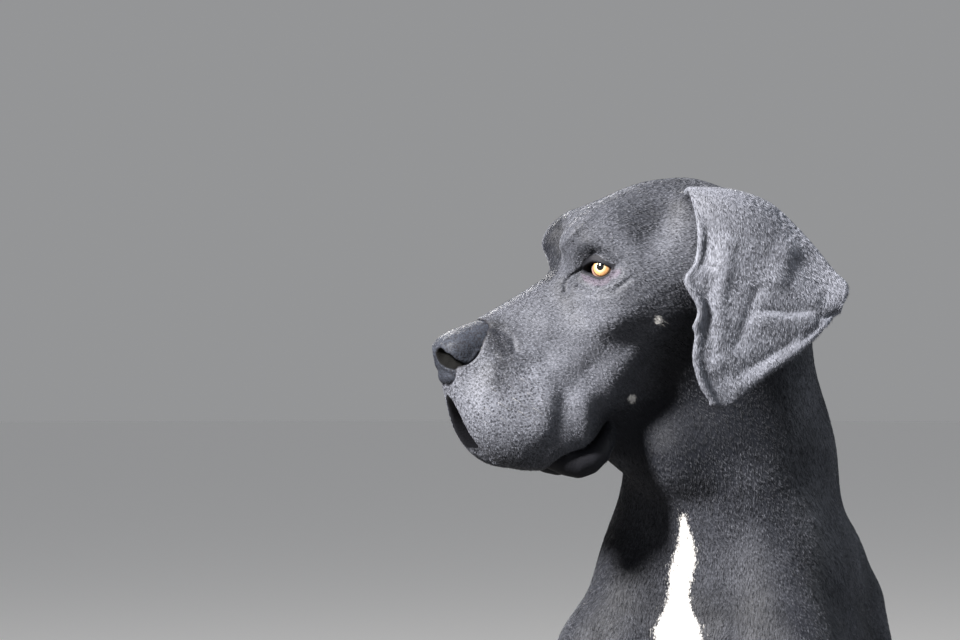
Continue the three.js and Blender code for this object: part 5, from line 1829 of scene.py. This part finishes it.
class DaneLooks(bpy.types.PropertyGroup):
    """Colours of the coat, the bare skin and the claws."""

    coat_dark: colour_setting("Coat, dark", (0.005, 0.0055, 0.0075), "The slate in the depth of the coat")
    coat_light: colour_setting("Coat, light", (0.115, 0.12, 0.142), "The slate of the palest hairs")
    blaze: colour_setting("Blaze", (0.46, 0.45, 0.44), "White of the chest")
    leather: colour_setting("Leather", (0.005, 0.005, 0.0065), "Bare skin of lips, lids, nose and pads")
    nose: colour_setting("Nose", (0.017, 0.02, 0.027), "The blue-grey tops of the nose's pebbles")
    lid: colour_setting("Lower lid", (0.05, 0.041, 0.055), "Thinly haired skin below the eye")
    claw: colour_setting("Claw", (0.045, 0.042, 0.04), "The palest horn of the claws")


class DaneEyes(bpy.types.PropertyGroup):
    """Where the eyes look and the colours of the iris."""

    iris_size: length_setting("Iris", 0.0172, "Across the iris")
    gaze: angle_setting("Gaze out", 50, "How far the eyes look outwards from straight ahead")
    gaze_up: angle_setting("Gaze up", 7, "How far the eyes look up")
    iris_centre: colour_setting("Iris, centre", (0.42, 0.33, 0.21), "The pale ring round the pupil")
    iris_light: colour_setting("Iris, light", (0.36, 0.2, 0.08), "The light fibres")
    iris_dark: colour_setting("Iris, dark", (0.22, 0.10, 0.035), "The dark fibres")
    rim: colour_setting("Rim", (0.03, 0.015, 0.008), "The dark rim of the iris")
    white: colour_setting("White", (0.16, 0.10, 0.08), "The brownish white of the eye")


class DaneCoat(bpy.types.PropertyGroup):
    """How thick the coat grows and how it lies."""

    tufts: count_setting("Tufts", 350000, "How many tufts are tried, with those of bare skin left out")
    lift: angle_setting("Lift", 5, "How far a tuft stands up from the skin")


class DaneStage(bpy.types.PropertyGroup):
    """The camera, the floor and the lights."""

    distance: length_setting("Distance", 3.5, "From the camera to the head")
    pixel_size: length_setting("Pixel", 0.00095, "The size at the head of a pixel of the picture")
    light: number_setting("Light", 1.0, "Strength of all the lamps")
    spread: angle_setting("Spread", 140, "How widely the lamps throw their light")
    floor_radius: length_setting("Floor", 30.0, "The floor's radius")
    floor_near: colour_setting("Floor, near", (0.10, 0.099, 0.098), "Colour of the floor round the dog")
    floor_far: colour_setting("Floor, far", (0.95, 0.95, 0.95), "Colour of the floor far from the dog")
    surround: colour_setting("Surround", (0.90, 0.91, 0.93), "Colour of the pale surround")
    surround_light: number_setting("Surround light", 0.33, "Strength of the light from all round")


class DANE_OT_skin(bpy.types.Operator):
    """Makes the skin of the whole dog, with its folds, lids, lips and ears"""

    bl_idname = "dane.skin"
    bl_label = "Skin"

    def execute(self, context):
        make_skin(context.scene.dane_skin, context.scene.dane_looks)
        return {"FINISHED"}


class DANE_OT_nose(bpy.types.Operator):
    """Makes the nose leather with its nostrils"""

    bl_idname = "dane.nose"
    bl_label = "Nose"

    def execute(self, context):
        make_nose(context.scene.dane_looks)
        return {"FINISHED"}


class DANE_OT_eyes(bpy.types.Operator):
    """Makes both eyeballs"""

    bl_idname = "dane.eyes"
    bl_label = "Eyes"

    def execute(self, context):
        make_eye(context.scene.dane_eyes, "eyeball_left", 1)
        make_eye(context.scene.dane_eyes, "eyeball_right", -1)
        return {"FINISHED"}


class DANE_OT_claws(bpy.types.Operator):
    """Makes the claws of all four paws"""

    bl_idname = "dane.claws"
    bl_label = "Claws"

    def execute(self, context):
        make_claws(context.scene.dane_looks)
        return {"FINISHED"}


class DANE_OT_coat(bpy.types.Operator):
    """Grows the coat over the skin"""

    bl_idname = "dane.coat"
    bl_label = "Coat"

    def execute(self, context):
        make_coat(context.scene.dane_coat, context.scene.dane_looks)
        return {"FINISHED"}


class DANE_OT_whiskers(bpy.types.Operator):
    """Makes the whiskers of the muzzle, brows and cheeks"""

    bl_idname = "dane.whiskers"
    bl_label = "Whiskers"

    def execute(self, context):
        make_whiskers()
        return {"FINISHED"}


class DANE_OT_stage(bpy.types.Operator):
    """Sets up the camera, the floor and the lights"""

    bl_idname = "dane.stage"
    bl_label = "Stage"

    def execute(self, context):
        make_stage(context.scene.dane_stage)
        return {"FINISHED"}


OPERATORS = (DANE_OT_stage, DANE_OT_skin, DANE_OT_nose, DANE_OT_eyes, DANE_OT_claws, DANE_OT_coat,
             DANE_OT_whiskers)
GROUPS = {
    "dane_skin": DaneSkin,
    "dane_looks": DaneLooks,
    "dane_eyes": DaneEyes,
    "dane_coat": DaneCoat,
    "dane_stage": DaneStage,
}


class DANE_PT_pieces(bpy.types.Panel):
    """The pieces of the dog and their sizes and colours"""

    bl_idname = "DANE_PT_pieces"
    bl_label = "Great dane"
    bl_space_type = "VIEW_3D"
    bl_region_type = "UI"
    bl_category = "Dane"

    def draw(self, context):
        for operator in OPERATORS:
            self.layout.operator(operator.bl_idname)
        for name, group in GROUPS.items():
            box = self.layout.box()
            for key in group.__annotations__:
                box.prop(getattr(context.scene, name), key)


CLASSES = (*GROUPS.values(), *OPERATORS, DANE_PT_pieces)


def register():
    """Registers the classes and hangs the groups of settings on the scene."""
    for one in CLASSES:
        bpy.utils.register_class(one)
    for name, group in GROUPS.items():
        setattr(bpy.types.Scene, name, bpy.props.PointerProperty(type=group))


def unregister():
    """Takes the groups of settings off the scene and unregisters the classes."""
    for name in GROUPS:
        delattr(bpy.types.Scene, name)
    for one in reversed(CLASSES):
        bpy.utils.unregister_class(one)


def main():
    """Registers the add-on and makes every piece."""
    register()
    for operator in OPERATORS:
        group, name = operator.bl_idname.split(".")
        getattr(getattr(bpy.ops, group), name)()


if __name__ == "__main__":
    main()
